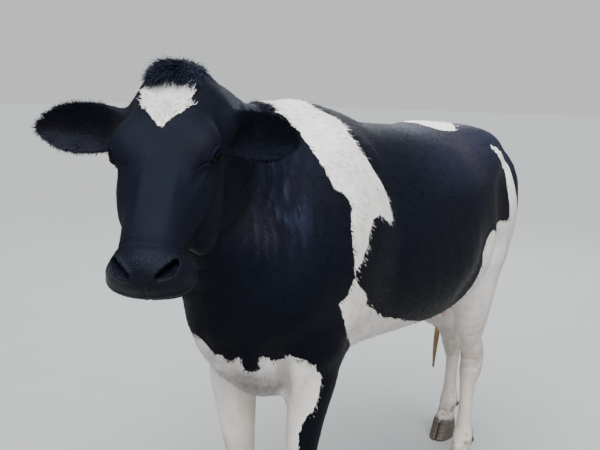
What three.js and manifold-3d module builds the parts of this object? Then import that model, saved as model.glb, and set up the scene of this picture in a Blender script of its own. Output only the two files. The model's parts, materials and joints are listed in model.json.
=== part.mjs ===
// A life-size dairy cow, standing still with her head turned to her left.
//
// Millimetres, +Z up. She faces -Y and her left side is +X. The origin is on the
// floor, under the middle of the whole model.
//
// The body is described as one smooth shape: barrel, neck, head and limbs are tapering
// masses that flow into each other. Each named part is then meshed at its own fineness
// and parted from its neighbours with thin, flat cuts.

import * as THREE from 'three';
import { mergeVertices } from 'three/addons/utils/BufferGeometryUtils.js';
import Module from 'manifold-3d';

const wasm = await Module();
wasm.setup();

// ---- driving dimensions -----------------------------------------------------------

const GAP = 0.3;                  // clear space between touching parts
const WITHERS = 1545;             // height of the back over the shoulder blades
const BACK = 1494;                // height of the back over the ribs
const HIPS = 1490;                // height of the back over the hip bones
const TAIL_HEAD = 1400;           // height of the back where the tail springs
const CHEST_FLOOR = 718;          // underside of the chest between the forelegs
const BELLY_FLOOR = 776;          // lowest point of the belly
const CHEST_HALF = 262;           // half the width over the shoulders
const BELLY_HALF = 345;           // half the width of the barrel at its widest
const HIP_HALF = 250;             // half the width over the hip bones
const REAR = 1345;                // how far the buttocks lie behind the withers

const FORE_SPREAD = 110;          // a forefoot's distance from the middle plane
const HIND_SPREAD = 108;          // a hind foot's distance from the middle plane
const CORONET = 78;               // height of the hairline over the claws

const HEAD_LENGTH = 525;          // poll to the front of the muzzle
const HEAD_TURN = 33;             // degrees the face points to her left
const HEAD_DROOP = 49;            // degrees the face line falls below level
const POLL = new THREE.Vector3(56, -512, 1650);

const EYE_RADIUS = 20;
const EAR_LENGTH = 238;
const EAR_WIDTH = 120;

// ---- fields: negative inside, positive outside, in millimetres --------------------

const X_AXIS = new THREE.Vector3(1, 0, 0);

// Two shapes joined, with a fillet about as wide as the reach.
function join(a, b, reach) {
  const overlap = Math.max(reach - Math.abs(a - b), 0) / reach;
  return Math.min(a, b) - overlap * overlap * reach / 4;
}

// Distance to the surface along the line from the centre, for the point (x, y, z) off
// the centre of a rounded box or ellipsoid with the radii (rx, ry, rz).
function radial(x, y, z, rx, ry, rz, squareness = 2) {
  const away = Math.hypot(x, y, z);
  const part = (value, radius) => (Math.abs(value) / radius) ** squareness;
  const scale = (part(x, rx) + part(y, ry) + part(z, rz)) ** (1 / squareness);
  if (scale < 1e-6) {
    return -Math.min(rx, ry, rz);
  }
  return away * (1 - 1 / scale);
}

// A value that runs smoothly through the second entry of each row, over the first.
function profile(rows, column, at) {
  const last = rows.length - 1;
  if (at <= rows[0][0]) {
    return rows[0][column];
  }
  if (at >= rows[last][0]) {
    return rows[last][column];
  }
  let i = 0;
  while (at > rows[i + 1][0]) {
    i += 1;
  }
  const slope = (a, b) => (rows[b][column] - rows[a][column]) / (rows[b][0] - rows[a][0]);
  const width = rows[i + 1][0] - rows[i][0];
  const t = (at - rows[i][0]) / width;
  const slopeIn = i > 0 ? slope(i - 1, i + 1) : slope(0, 1);
  const slopeOut = i + 1 < last ? slope(i, i + 2) : slope(last - 1, last);
  const a = rows[i][column];
  const b = rows[i + 1][column];
  return (2 * t ** 3 - 3 * t ** 2 + 1) * a + (t ** 3 - 2 * t ** 2 + t) * width * slopeIn
    + (3 * t ** 2 - 2 * t ** 3) * b + (t ** 3 - t ** 2) * width * slopeOut;
}

// A limb: rows of [x, y, z, half width across, half depth fore and aft] from root to tip.
function limb(rows, steps = 3) {
  const path = new THREE.CatmullRomCurve3(rows.map((row) => new THREE.Vector3(row[0], row[1], row[2])));
  const count = (rows.length - 1) * steps;
  const widths = rows.map((row, i) => [i, row[3], row[4]]);
  const stations = [];
  for (let i = 0; i <= count; i += 1) {
    const at = i / steps;
    stations.push({
      point: path.getPoint(i / count),
      across: profile(widths, 1, at),
      along: profile(widths, 2, at),
    });
  }
  const pieces = stations.slice(1).map((end, i) => {
    const start = stations[i];
    const run = end.point.clone().sub(start.point);
    const axis = run.clone().normalize();
    const side = X_AXIS.clone().addScaledVector(axis, -axis.x).normalize();
    const fore = new THREE.Vector3().crossVectors(axis, side);
    return { start, end, run, axis, side, fore, length2: run.lengthSq() };
  });
  const offset = new THREE.Vector3();
  return (p) => {
    let nearest = Infinity;
    for (const { start, end, run, axis, side, fore, length2 } of pieces) {
      offset.subVectors(p, start.point);
      const t = Math.min(Math.max(offset.dot(run) / length2, 0), 1);
      offset.addScaledVector(run, -t);
      const across = start.across + t * (end.across - start.across);
      const along = start.along + t * (end.along - start.along);
      const cap = Math.min(across, along);
      const value = radial(offset.dot(side), offset.dot(fore), offset.dot(axis), across, along, cap);
      nearest = Math.min(nearest, value);
    }
    return nearest;
  };
}

const mass = (x, y, z, rx, ry, rz) => (p) => radial(p.x - x, p.y - y, p.z - z, rx, ry, rz);

// ---- the trunk --------------------------------------------------------------------

// Rows along the body: [y, half width, top, underside, height of the widest place].
const TRUNK = [
  [-250, 135, 1370, 860, 1090],
  [-150, 200, 1490, 770, 1085],
  [0, CHEST_HALF - 8, WITHERS, 762, 1085],
  [170, 285, WITHERS - 18, 792, 1075],
  [400, 328, BACK + 14, 788, 1065],
  [640, BELLY_HALF, BACK, BELLY_FLOOR, 1050],
  [820, 322, BACK, BELLY_FLOOR + 24, 1070],
  [960, HIP_HALF + 10, HIPS, 885, 1140],
  [1110, 226, HIPS - 30, 960, 1180],
  [1235, 176, TAIL_HEAD + 8, 1040, 1220],
  [REAR - 60, 130, TAIL_HEAD - 42, 1080, 1220],
];
const TRUNK_SQUARE = 2.15;
const TRUNK_ENDS = 70;

function barrel(p) {
  const at = Math.min(Math.max(p.y, TRUNK[0][0]), TRUNK[TRUNK.length - 1][0]);
  const widest = profile(TRUNK, 4, at);
  const rise = p.z - widest;
  const tall = rise > 0 ? profile(TRUNK, 2, at) - widest : widest - profile(TRUNK, 3, at);
  return radial(p.x, p.y - at, rise, profile(TRUNK, 1, at), TRUNK_ENDS, tall, TRUNK_SQUARE);
}

// Masses that come once on each side, given for the left.
const paired = (side) => [
  { shape: mass(side * 158, 10, 1230, 102, 150, 240), reach: 120 },          // shoulder blade
  { shape: mass(side * 148, -165, 1065, 82, 96, 115), reach: 90 },           // point of shoulder
  { shape: mass(side * 146, -45, 925, 104, 122, 125), reach: 90 },           // upper arm
  { shape: mass(side * HIP_HALF * 0.72, 930, 1382, 62, 110, 62), reach: 160 },  // hip bone
  { shape: mass(side * 126, 1110, 1120, 130, 200, 270), reach: 110 },        // thigh
  { shape: mass(side * 108, 1262, 1245, 64, 60, 92), reach: 110 },           // pin bone
];

const brisket = limb([
  [0, -205, 1180, 135, 115],
  [0, -250, 1000, 112, 112],
  [0, -220, 870, 92, 100],
  [0, -130, 808, 78, 82],
  [0, 40, 830, 84, 70],
]);

// ---- the limbs, given for the left side ---------------------------------------------

const foreleg = (side) => limb([
  [side * 160, -62, 880, 80, 108],
  [side * 146, -70, 780, 70, 82],
  [side * 130, -78, 680, 60, 67],
  [side * 120, -82, 580, 49, 56],
  [side * 114, -83, 490, 42, 47],
  [side * FORE_SPREAD, -86, 425, 48, 52],
  [side * FORE_SPREAD, -80, 365, 37, 41],
  [side * FORE_SPREAD, -74, 280, 29, 35],
  [side * FORE_SPREAD, -68, 205, 32, 38],
  [side * FORE_SPREAD, -66, 160, 41, 44],
  [side * FORE_SPREAD, -84, 112, 40, 41],
  [side * FORE_SPREAD, -104, 60, 49, 51],
]);

// A hind leg, with its foot at the given place along the body.
const hindleg = (side, foot) => limb([
  [side * 146, 1030 + foot * 0.02, 940, 98, 160],
  [side * 146, 1040 + foot * 0.2, 810, 82, 132],
  [side * 135, 1065 + foot * 0.45, 690, 62, 96],
  [side * 122, 1108 + foot * 0.72, 590, 46, 70],
  [side * 114, 1138 + foot * 0.88, 510, 43, 64],
  [side * 110, 1138 + foot * 0.94, 445, 43, 53],
  [side * HIND_SPREAD, 1128 + foot, 380, 33, 41],
  [side * HIND_SPREAD, 1120 + foot, 285, 30, 37],
  [side * HIND_SPREAD, 1114 + foot, 208, 34, 40],
  [side * HIND_SPREAD, 1110 + foot, 165, 42, 45],
  [side * HIND_SPREAD, 1090 + foot, 112, 40, 42],
  [side * HIND_SPREAD, 1070 + foot, 60, 48, 51],
]);
const HIND_STEP = { left: -10, right: 300 };   // how far each hind foot is placed back

// The knob of the heel bone behind each hock.
const heel = (side, foot) => limb([
  [side * 110, 1152 + foot * 0.92, 455, 34, 39],
  [side * 114, 1192 + foot * 0.86, 545, 25, 25],
  [side * 122, 1168 + foot * 0.66, 645, 16, 18],
]);

// ---- neck and head ------------------------------------------------------------------

const neck = limb([
  [0, 40, 1215, 198, 318],
  [4, -110, 1264, 160, 306],
  [14, -240, 1338, 124, 258],
  [34, -350, 1415, 106, 195],
  [60, -440, 1500, 92, 145],
]);

const turn = THREE.MathUtils.degToRad(HEAD_TURN);
const droop = THREE.MathUtils.degToRad(HEAD_DROOP);
const facing = new THREE.Vector3(Math.sin(turn), -Math.cos(turn), 0);
const UP = new THREE.Vector3(0, 0, 1);
// The head's own axes: to its left, down the face, and out of the forehead.
const headLeft = new THREE.Vector3().crossVectors(UP, facing);
const headDown = facing.clone().multiplyScalar(Math.cos(droop)).addScaledVector(UP, -Math.sin(droop));
const headOut = facing.clone().multiplyScalar(Math.sin(droop)).addScaledVector(UP, Math.cos(droop));
const headFrame = new THREE.Matrix4().makeBasis(headLeft, headDown, headOut).setPosition(POLL);
const toHead = headFrame.clone().invert();

// Rows down the face: [distance from the poll, half width, face line, jaw line, widest].
const SKULL = [
  [0, 76, -14, -120, -55],
  [70, 94, 8, -178, -60],
  [140, 106, 14, -220, -62],
  [205, 108, 6, -246, -70],
  [270, 98, -6, -232, -75],
  [335, 83, -10, -195, -75],
  [400, 74, -8, -162, -70],
  [450, 74, -6, -150, -78],
  [HEAD_LENGTH - 48, 78, -16, -144, -80],
];
const SKULL_SQUARE = 2.3;
const SKULL_ENDS = 48;

function skull(h) {
  const at = Math.min(Math.max(h.y, SKULL[0][0]), SKULL[SKULL.length - 1][0]);
  const widest = profile(SKULL, 4, at);
  const rise = h.z - widest;
  const tall = rise > 0 ? profile(SKULL, 2, at) - widest : widest - profile(SKULL, 3, at);
  return radial(h.x, h.y - at, rise, profile(SKULL, 1, at), SKULL_ENDS, tall, SKULL_SQUARE);
}

const EYE = { x: 106, y: 209, z: -46 };
const EAR_ROOT = { x: 88, y: 100, z: -88 };

const headMasses = [
  { shape: mass(0, 16, -46, 64, 56, 60), reach: 40 },                         // poll
  { shape: mass(0, 484, -74, 84, 42, 50), reach: 36 },                        // muzzle
  { shape: mass(0, 466, -120, 72, 52, 34), reach: 30 },                       // chin
];
const earRoot = (side) => limb([
  [side * 34, 12, -64, 40, 36],
  [side * 84, 62, -84, 38, 34],
  [side * 114, 90, -90, 34, 24],
]);
const headPairs = (side) => [
  { shape: mass(side * 88, 186, -30, 38, 44, 34), reach: 36 },                // brow
  { shape: mass(side * 60, 232, -150, 46, 84, 78), reach: 50 },               // jaw muscle
  { shape: mass(side * 72, 285, -84, 26, 76, 24), reach: 40 },                // cheek ridge
  { shape: earRoot(side), reach: 40 },
];

const allHeadMasses = [...headMasses, ...headPairs(1), ...headPairs(-1)];

const headPoint = new THREE.Vector3();
function head(p) {
  const h = headPoint.copy(p).applyMatrix4(toHead);
  let value = skull(h);
  for (const { shape, reach } of allHeadMasses) {
    value = join(value, shape(h), reach);
  }
  return value;
}

// ---- udder and tail -------------------------------------------------------------------

const udder = [-1, 1].flatMap((side) => [
  { shape: mass(side * 32, 1035, 822, 38, 72, 98), reach: 50 },
  { shape: mass(side * 31, 1140, 835, 36, 66, 98), reach: 50 },
  { shape: limb([[side * 32, 1012, 745, 14, 14], [side * 34, 1006, 668, 10, 10]]), reach: 14 },
  { shape: limb([[side * 30, 1128, 755, 14, 14], [side * 31, 1130, 682, 10, 10]]), reach: 14 },
]);

// ---- the whole body -------------------------------------------------------------------

const SIDES = [['left', 1], ['right', -1]];
const bodyMasses = [
  { shape: neck, reach: 150 },
  { shape: brisket, reach: 120 },
  ...paired(1),
  ...paired(-1),
];
for (const [name, side] of SIDES) {
  bodyMasses.push({ shape: foreleg(side), reach: 60 });
  bodyMasses.push({ shape: hindleg(side, HIND_STEP[name]), reach: 70 });
  bodyMasses.push({ shape: heel(side, HIND_STEP[name]), reach: 30 });
}
bodyMasses.push(...udder);

function body(p) {
  let value = barrel(p);
  for (const { shape, reach } of bodyMasses) {
    value = join(value, shape(p), reach);
  }
  return join(value, head(p), 60);
}

// ---- meshing ----------------------------------------------------------------------------

// The surface of a field inside a box, as a closed mesh of squares about one cell wide.
// One vertex stands in each cell that the surface crosses, and is moved onto the surface.
function surface(field, box, cell) {
  const low = box.min.clone().addScaledVector(cell, -1.5);
  const size = box.max.clone().sub(box.min).addScaledVector(cell, 3);
  const nx = Math.ceil(size.x / cell.x) + 1;
  const ny = Math.ceil(size.y / cell.y) + 1;
  const nz = Math.ceil(size.z / cell.z) + 1;
  const centre = box.getCenter(new THREE.Vector3());
  const half = box.getSize(new THREE.Vector3()).multiplyScalar(0.5);
  const clipped = (p) => Math.max(
    field(p),
    Math.abs(p.x - centre.x) - half.x,
    Math.abs(p.y - centre.y) - half.y,
    Math.abs(p.z - centre.z) - half.z,
  );
  const index = (i, j, k) => i + nx * (j + ny * k);
  const values = new Float64Array(nx * ny * nz);
  const p = new THREE.Vector3();
  for (let k = 0; k < nz; k += 1) {
    for (let j = 0; j < ny; j += 1) {
      for (let i = 0; i < nx; i += 1) {
        values[index(i, j, k)] = clipped(p.set(i, j, k).multiply(cell).add(low));
      }
    }
  }
  const vertexOf = new Map();
  const vertices = [];
  for (let k = 0; k < nz - 1; k += 1) {
    for (let j = 0; j < ny - 1; j += 1) {
      for (let i = 0; i < nx - 1; i += 1) {
        const sum = new THREE.Vector3();
        let crossings = 0;
        for (const [a, b] of CELL_EDGES) {
          const va = values[index(i + a[0], j + a[1], k + a[2])];
          const vb = values[index(i + b[0], j + b[1], k + b[2])];
          if ((va < 0) !== (vb < 0)) {
            const t = va / (va - vb);
            sum.x += i + a[0] + t * (b[0] - a[0]);
            sum.y += j + a[1] + t * (b[1] - a[1]);
            sum.z += k + a[2] + t * (b[2] - a[2]);
            crossings += 1;
          }
        }
        if (crossings > 0) {
          vertexOf.set(index(i, j, k), vertices.length / 3);
          sum.divideScalar(crossings).multiply(cell).add(low);
          settle(clipped, sum, Math.min(cell.x, cell.y, cell.z));
          vertices.push(sum.x, sum.y, sum.z);
        }
      }
    }
  }
  const faces = [];
  const quad = (a, b, c, d, flip) => {
    const [va, vb, vc, vd] = [a, b, c, d].map((cellIndex) => vertexOf.get(cellIndex));
    faces.push(...(flip ? [va, vc, vb, va, vd, vc] : [va, vb, vc, va, vc, vd]));
  };
  for (let k = 1; k < nz - 1; k += 1) {
    for (let j = 1; j < ny - 1; j += 1) {
      for (let i = 1; i < nx - 1; i += 1) {
        const inside = values[index(i, j, k)] < 0;
        if (inside !== values[index(i + 1, j, k)] < 0) {
          quad(index(i, j - 1, k - 1), index(i, j, k - 1), index(i, j, k), index(i, j - 1, k), !inside);
        }
        if (inside !== values[index(i, j + 1, k)] < 0) {
          quad(index(i - 1, j, k - 1), index(i, j, k - 1), index(i, j, k), index(i - 1, j, k), inside);
        }
        if (inside !== values[index(i, j, k + 1)] < 0) {
          quad(index(i - 1, j - 1, k), index(i, j - 1, k), index(i, j, k), index(i - 1, j, k), !inside);
        }
      }
    }
  }
  return { vertices, faces };
}

// The twelve edges of a cell, as pairs of its corners.
const CELL_EDGES = [];
for (let axis = 0; axis < 3; axis += 1) {
  for (const [u, v] of [[0, 0], [0, 1], [1, 0], [1, 1]]) {
    const from = [0, 0, 0];
    from[(axis + 1) % 3] = u;
    from[(axis + 2) % 3] = v;
    const to = [...from];
    to[axis] = 1;
    CELL_EDGES.push([from, to]);
  }
}

// Moves a point near the surface along the field's slope onto it.
function settle(field, point, cell) {
  const step = cell * 0.02;
  const probe = new THREE.Vector3();
  for (let round = 0; round < 3; round += 1) {
    const value = field(point);
    const slope = new THREE.Vector3(
      field(probe.copy(point).setX(point.x + step)) - value,
      field(probe.copy(point).setY(point.y + step)) - value,
      field(probe.copy(point).setZ(point.z + step)) - value,
    ).divideScalar(step);
    const steepness = slope.lengthSq();
    if (steepness < 0.05) {
      return;
    }
    const move = THREE.MathUtils.clamp(value / Math.sqrt(steepness), -cell * 0.3, cell * 0.3);
    point.addScaledVector(slope, -move / Math.sqrt(steepness));
  }
}

// ---- solids -------------------------------------------------------------------------------

function solidFromArrays(vertices, faces) {
  return new wasm.Manifold(new wasm.Mesh({
    numProp: 3,
    vertProperties: new Float32Array(vertices),
    triVerts: new Uint32Array(faces),
  }));
}

// A closed three.js geometry as a solid, after the given placement.
function solidFromGeometry(geometry, placement = new THREE.Matrix4()) {
  const bare = geometry.clone().applyMatrix4(placement);
  bare.deleteAttribute('normal');
  bare.deleteAttribute('uv');
  const merged = mergeVertices(bare, 1e-3);
  return solidFromArrays(merged.attributes.position.array, merged.index.array);
}

// Two corners nearer than this become one, so that a cut leaves no needle-thin faces.
const CORNER = 0.2;
function geometryFromSolid(solid) {
  const { vertProperties, triVerts } = solid.getMesh();
  const position = new THREE.BufferAttribute(new Float32Array(vertProperties), 3);
  const corner = (i) => new THREE.Vector3().fromBufferAttribute(position, i);
  const joined = Array.from({ length: position.count }, (_, i) => i);
  const standIn = (i) => {
    let at = i;
    while (joined[at] !== at) {
      at = joined[at];
    }
    return at;
  };
  for (let i = 0; i < triVerts.length; i += 3) {
    for (const [u, v] of [[i, i + 1], [i + 1, i + 2], [i + 2, i]]) {
      const [a, b] = [triVerts[u], triVerts[v]];
      if (a < b && corner(a).distanceTo(corner(b)) < CORNER) {
        joined[Math.max(standIn(a), standIn(b))] = Math.min(standIn(a), standIn(b));
      }
    }
  }
  const faces = [];
  for (let i = 0; i < triVerts.length; i += 3) {
    const [a, b, c] = [0, 1, 2].map((n) => standIn(triVerts[i + n]));
    if (a !== b && b !== c && c !== a) {
      faces.push(a, b, c);
    }
  }
  const geometry = new THREE.BufferGeometry();
  geometry.setAttribute('position', position);
  geometry.setIndex(faces);
  geometry.computeVertexNormals();
  return geometry;
}

const meshed = (box, cell, field = body) => {
  const { vertices, faces } = surface(field, box, cell);
  return solidFromArrays(vertices, faces);
};
const vector = (x, y, z) => new THREE.Vector3(x, y, z);
const span = (x0, x1, y0, y1, z0, z1) => new THREE.Box3(
  vector(Math.min(x0, x1), y0, z0),
  vector(Math.max(x0, x1), y1, z1),
);

// Everything on one side of a plane, as a big box. The normal points into it, and it
// starts the given inset beyond the plane.
const EVERYWHERE = 4000;
function halfSpace(point, normal, inset) {
  const unit = normal.clone().normalize();
  const turned = new THREE.Quaternion().setFromUnitVectors(UP, unit);
  const centre = point.clone().addScaledVector(unit, inset + EVERYWHERE / 2);
  const placement = new THREE.Matrix4().compose(centre, turned, vector(1, 1, 1));
  return solidFromGeometry(new THREE.BoxGeometry(EVERYWHERE, EVERYWHERE, EVERYWHERE), placement);
}

// The space that several planes shut in. Each plane is a [point, normal] pair.
const within = (planes, inset) => planes
  .map(([point, normal]) => halfSpace(point, normal, inset))
  .reduce((all, next) => all.intersect(next));
const ours = (planes) => within(planes, GAP / 2);
const theirs = (planes) => within(planes, -GAP / 2);
const flip = ([point, normal]) => [point, normal.clone().negate()];

// A tube through the given rings, which all have the same number of points. Both ends
// are closed by a fan round their middle.
function loft(rings) {
  const sides = rings[0].length;
  const points = rings.flat();
  const faces = [];
  for (let r = 0; r + 1 < rings.length; r += 1) {
    for (let i = 0; i < sides; i += 1) {
      const a = r * sides + i;
      const b = r * sides + (i + 1) % sides;
      faces.push(a, b, b + sides, a, b + sides, a + sides);
    }
  }
  for (const [ring, first, outward] of [[rings[0], 0, false], [rings.at(-1), points.length - sides, true]]) {
    const middle = ring.reduce((sum, point) => sum.add(point), vector(0, 0, 0)).divideScalar(sides);
    const centre = points.push(middle) - 1;
    for (let i = 0; i < sides; i += 1) {
      const a = first + i;
      const b = first + (i + 1) % sides;
      faces.push(...(outward ? [centre, a, b] : [centre, b, a]));
    }
  }
  const solid = solidFromArrays(points.flatMap((point) => point.toArray()), faces);
  if (solid.volume() > 0) {
    return solid;
  }
  for (let i = 0; i < faces.length; i += 3) {
    [faces[i], faces[i + 1]] = [faces[i + 1], faces[i]];
  }
  return solidFromArrays(points.flatMap((point) => point.toArray()), faces);
}

// ---- where the parts are cut --------------------------------------------------------------

const headPlace = (x, y, z) => vector(x, y, z).applyMatrix4(headFrame);
const headWay = (x, y, z) => vector(x, y, z).transformDirection(headFrame);

const NAPE = [headPlace(0, -26, -78), headWay(0, 0.67, 0.74)];          // into the head
const MOUTH = [headPlace(0, HEAD_LENGTH, -101), headWay(0, 0.13, -1)];  // into the jaw
const SHOULDER_CUT = [vector(0, -190, 1270), vector(0, -0.894, 0.447)]; // into the neck
const INNER = 56;                                                       // inside of a leg's space
const KNEE_CUT = 432;
const HOCK_CUT = 475;

const foreSpace = (side) => [
  [vector(side * INNER, 0, 735), vector(side * 0.5, 0, -0.866)],
  [vector(side * INNER, 0, 0), vector(side, 0, 0)],
  [vector(0, -340, 0), vector(0, 1, 0)],
  [vector(0, 200, 0), vector(0, -1, 0)],
];
const hindSpace = (side) => [
  [vector(side * INNER, 960, 800), vector(side * 0.35, 0.3, -0.887)],
  [vector(side * INNER, 0, 0), vector(side, 0, 0)],
  [vector(0, 872, 0), vector(0, 1, 0)],
];
const udderSpace = [
  [vector(-INNER, 0, 0), vector(1, 0, 0)],
  [vector(INNER, 0, 0), vector(-1, 0, 0)],
  [vector(0, 930, 0), vector(0, 1, 0)],
  [vector(0, 1300, 0), vector(0, -1, 0)],
  [vector(0, 0, 800), vector(0, 0, -1)],
];
const below = (z) => [vector(0, 0, z), vector(0, 0, -1)];
const above = (z) => flip(below(z));

// ---- ears -----------------------------------------------------------------------------------

// Each ear grows out of the side of the head. It is a leaf, cupped towards the front:
// rows of [part of its length, half width, thickness, depth of the cup].
const EAR_LEAF = [
  [0, 0.36, 48, 0],
  [0.12, 0.4, 36, 8],
  [0.3, 0.48, 24, 20],
  [0.5, 0.5, 18, 22],
  [0.7, 0.44, 15, 18],
  [0.86, 0.29, 13, 11],
  [0.97, 0.1, 8, 4],
];
const EAR_STUB = { left: 4, right: 20 };   // how far out from its root's middle each ear begins
const EAR_SIDES = 10;
const EAR_RINGS = 10;
const earWay = {
  left: headWay(0.856, -0.206, -0.475),
  right: headWay(-0.999, 0.03, 0.01),
};

function ear(name, side, grow = 0) {
  const out = earWay[name];
  const base = headPlace(side * EAR_ROOT.x, EAR_ROOT.y, EAR_ROOT.z).addScaledVector(out, EAR_STUB[name] - grow);
  const front = headWay(0, 0.656, 0.755);
  front.addScaledVector(out, -front.dot(out)).normalize();
  const across = new THREE.Vector3().crossVectors(front, out);
  const reach = EAR_LENGTH - EAR_STUB.right;
  const rings = [];
  for (let r = 0; r < EAR_RINGS; r += 1) {
    const at = (r / (EAR_RINGS - 1)) ** 0.85 * EAR_LEAF.at(-1)[0];
    const half = profile(EAR_LEAF, 1, at) * EAR_WIDTH + grow;
    const thick = profile(EAR_LEAF, 2, at) + 2 * grow;
    const cup = profile(EAR_LEAF, 3, at);
    const ring = [];
    for (let i = 0; i < EAR_SIDES; i += 1) {
      const angle = 2 * Math.PI * i / EAR_SIDES;
      const over = Math.cos(angle);
      const lift = Math.sin(angle) * thick / 2 + cup * (over * over - 0.5);
      ring.push(base.clone()
        .addScaledVector(out, at * (reach + 2 * grow))
        .addScaledVector(across, over * half)
        .addScaledVector(front, lift));
    }
    rings.push(ring);
  }
  return loft(rings);
}

// ---- tail -------------------------------------------------------------------------------------

// From the tail head down behind the rump, swung to her right: [x, y, z, radius].
const TAIL = [
  [0, 1250, 1368, 30],
  [0, 1335, 1350, 30],
  [-8, 1400, 1250, 26],
  [-34, 1440, 1080, 22],
  [-92, 1478, 880, 19],
  [-160, 1505, 720, 18],
  [-205, 1518, 600, 20],
];
const SWITCH = [
  [-205, 1518, 600, 24],
  [-228, 1522, 520, 33],
  [-240, 1522, 420, 34],
  [-246, 1520, 330, 24],
  [-248, 1518, 265, 8],
];
const TAIL_SIDES = 8;

function tube(rows, steps, grow = 0) {
  const path = new THREE.CatmullRomCurve3(rows.map(([x, y, z]) => vector(x, y, z)));
  const radii = rows.map((row, i) => [i, row[3]]);
  const rings = [];
  for (let r = 0; r <= steps; r += 1) {
    const at = r / steps;
    const tangent = path.getTangent(at);
    const side = vector(1, 0, 0).addScaledVector(tangent, -tangent.x).normalize();
    const fore = new THREE.Vector3().crossVectors(tangent, side);
    const radius = profile(radii, 1, at * (rows.length - 1)) + grow;
    const past = grow * (2 * at - 1);
    const centre = path.getPoint(at).addScaledVector(tangent, past);
    const ring = [];
    for (let i = 0; i < TAIL_SIDES; i += 1) {
      const angle = 2 * Math.PI * i / TAIL_SIDES;
      ring.push(centre.clone()
        .addScaledVector(side, Math.cos(angle) * radius)
        .addScaledVector(fore, Math.sin(angle) * radius));
    }
    rings.push(ring);
  }
  return loft(rings);
}

// ---- claws --------------------------------------------------------------------------------------

// One claw, as rows of [height, toe, heel, width]: toe and heel are measured forward and
// back from the middle of the hairline.
const CLAW = [
  [0, 92, 44, 48],
  [8, 91, 46, 50],
  [42, 70, 51, 48],
  [CORONET - GAP, 52, 50, 44],
];
const CLEFT = 2.5;           // half the gap between the two claws
const CLAW_ARC = 6;

function claw(footX, footY, outwards) {
  const rings = CLAW.map(([height, toe, heel, width]) => {
    const ring = [];
    for (let i = 0; i <= CLAW_ARC; i += 1) {
      const angle = Math.PI * (i / CLAW_ARC - 0.5);
      const along = Math.sin(angle) > 0 ? heel : toe;
      ring.push(vector(
        footX + outwards * (CLEFT + width * Math.cos(angle) ** 0.8),
        footY + along * Math.sin(angle),
        height,
      ));
    }
    return ring;
  });
  return loft(rings);
}

// A dewclaw: a small blunt cone behind the fetlock, pointing down and back.
const DEWCLAW = { radius: 15, tip: 9, length: 36, sides: 6, slope: -50, height: 140, back: 36, aside: 20 };
function dewclaw(footX, fetlockY, outwards, grow = 0) {
  const cone = new THREE.CylinderGeometry(
    DEWCLAW.tip + grow,
    DEWCLAW.radius + grow,
    DEWCLAW.length + 2 * grow,
    DEWCLAW.sides,
  );
  const place = new THREE.Matrix4().makeTranslation(
    footX + outwards * DEWCLAW.aside,
    fetlockY + DEWCLAW.back,
    DEWCLAW.height,
  );
  place.multiply(new THREE.Matrix4().makeRotationX(THREE.MathUtils.degToRad(DEWCLAW.slope)));
  return solidFromGeometry(cone, place);
}

// ---- materials --------------------------------------------------------------------------------------

const finish = (color, roughness) => new THREE.MeshStandardMaterial({ color, roughness, metalness: 0 });
const blackCoat = finish(0x15161b, 0.55);
const whiteCoat = finish(0xe2ddd2, 0.75);
const muzzleSkin = finish(0x22242b, 0.4);
const udderSkin = finish(0xd8b6a4, 0.6);
const horn = finish(0x4a4640, 0.45);
const eyeGlass = finish(0x120d0b, 0.08);
const tailHair = finish(0xb79a66, 0.8);

// ---- parts --------------------------------------------------------------------------------------------

const TRUNK_CELL = vector(65, 100, 70);
const NECK_CELL = vector(58, 64, 66);
const HEAD_CELL = vector(30, 30, 30);
const LEG_CELL = vector(43, 44, 60);
const SHANK_CELL = vector(24, 27, 46);
const UDDER_CELL = vector(24, 30, 30);

const cow = new THREE.Group();
function add(name, solid, material) {
  const mesh = new THREE.Mesh(geometryFromSolid(solid), material);
  mesh.name = name;
  cow.add(mesh);
}

// Head, jaw, ears and eyes.
const eyeAt = (side) => headPlace(side * EYE.x, EYE.y, EYE.z);
const eyeball = (side, radius) => solidFromGeometry(
  new THREE.SphereGeometry(radius, 10, 8),
  new THREE.Matrix4().setPosition(eyeAt(side)),
);
let skullSolid = meshed(span(-330, 420, -1040, -240, 1060, 1760), HEAD_CELL);
for (const [name, side] of SIDES) {
  skullSolid = skullSolid.subtract(ear(name, side, GAP)).subtract(eyeball(side, EYE_RADIUS + GAP));
  add(`ear_${name}`, ear(name, side), blackCoat);
  add(`eye_${name}`, eyeball(side, EYE_RADIUS), eyeGlass);
}
add('head', skullSolid.intersect(ours([NAPE, flip(MOUTH)])), blackCoat);
add('jaw', skullSolid.intersect(ours([NAPE, MOUTH])), muzzleSkin);

// Neck and trunk.
const neckSolid = meshed(span(-330, 380, -720, 60, 780, 1760), NECK_CELL);
add('neck', neckSolid.intersect(ours([flip(NAPE), SHOULDER_CUT])), blackCoat);
const legSpaces = SIDES.flatMap(([, side]) => [foreSpace(side), hindSpace(side)]);
let trunkSolid = meshed(span(-400, 400, -480, 1420, 640, 1640), TRUNK_CELL)
  .intersect(ours([flip(SHOULDER_CUT)]))
  .subtract(theirs(udderSpace))
  .subtract(tube(TAIL, 14, GAP));
for (const space of legSpaces) {
  trunkSolid = trunkSolid.subtract(theirs(space));
}
add('trunk', trunkSolid, blackCoat);
add('udder', meshed(span(-120, 120, 880, 1340, 620, 900), UDDER_CELL).intersect(ours(udderSpace)), udderSkin);
add('tail', tube(TAIL, 14).intersect(ours([above(601)])), blackCoat);
add('tail_switch', tube(SWITCH, 7).intersect(ours([below(601)])), tailHair);

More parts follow.
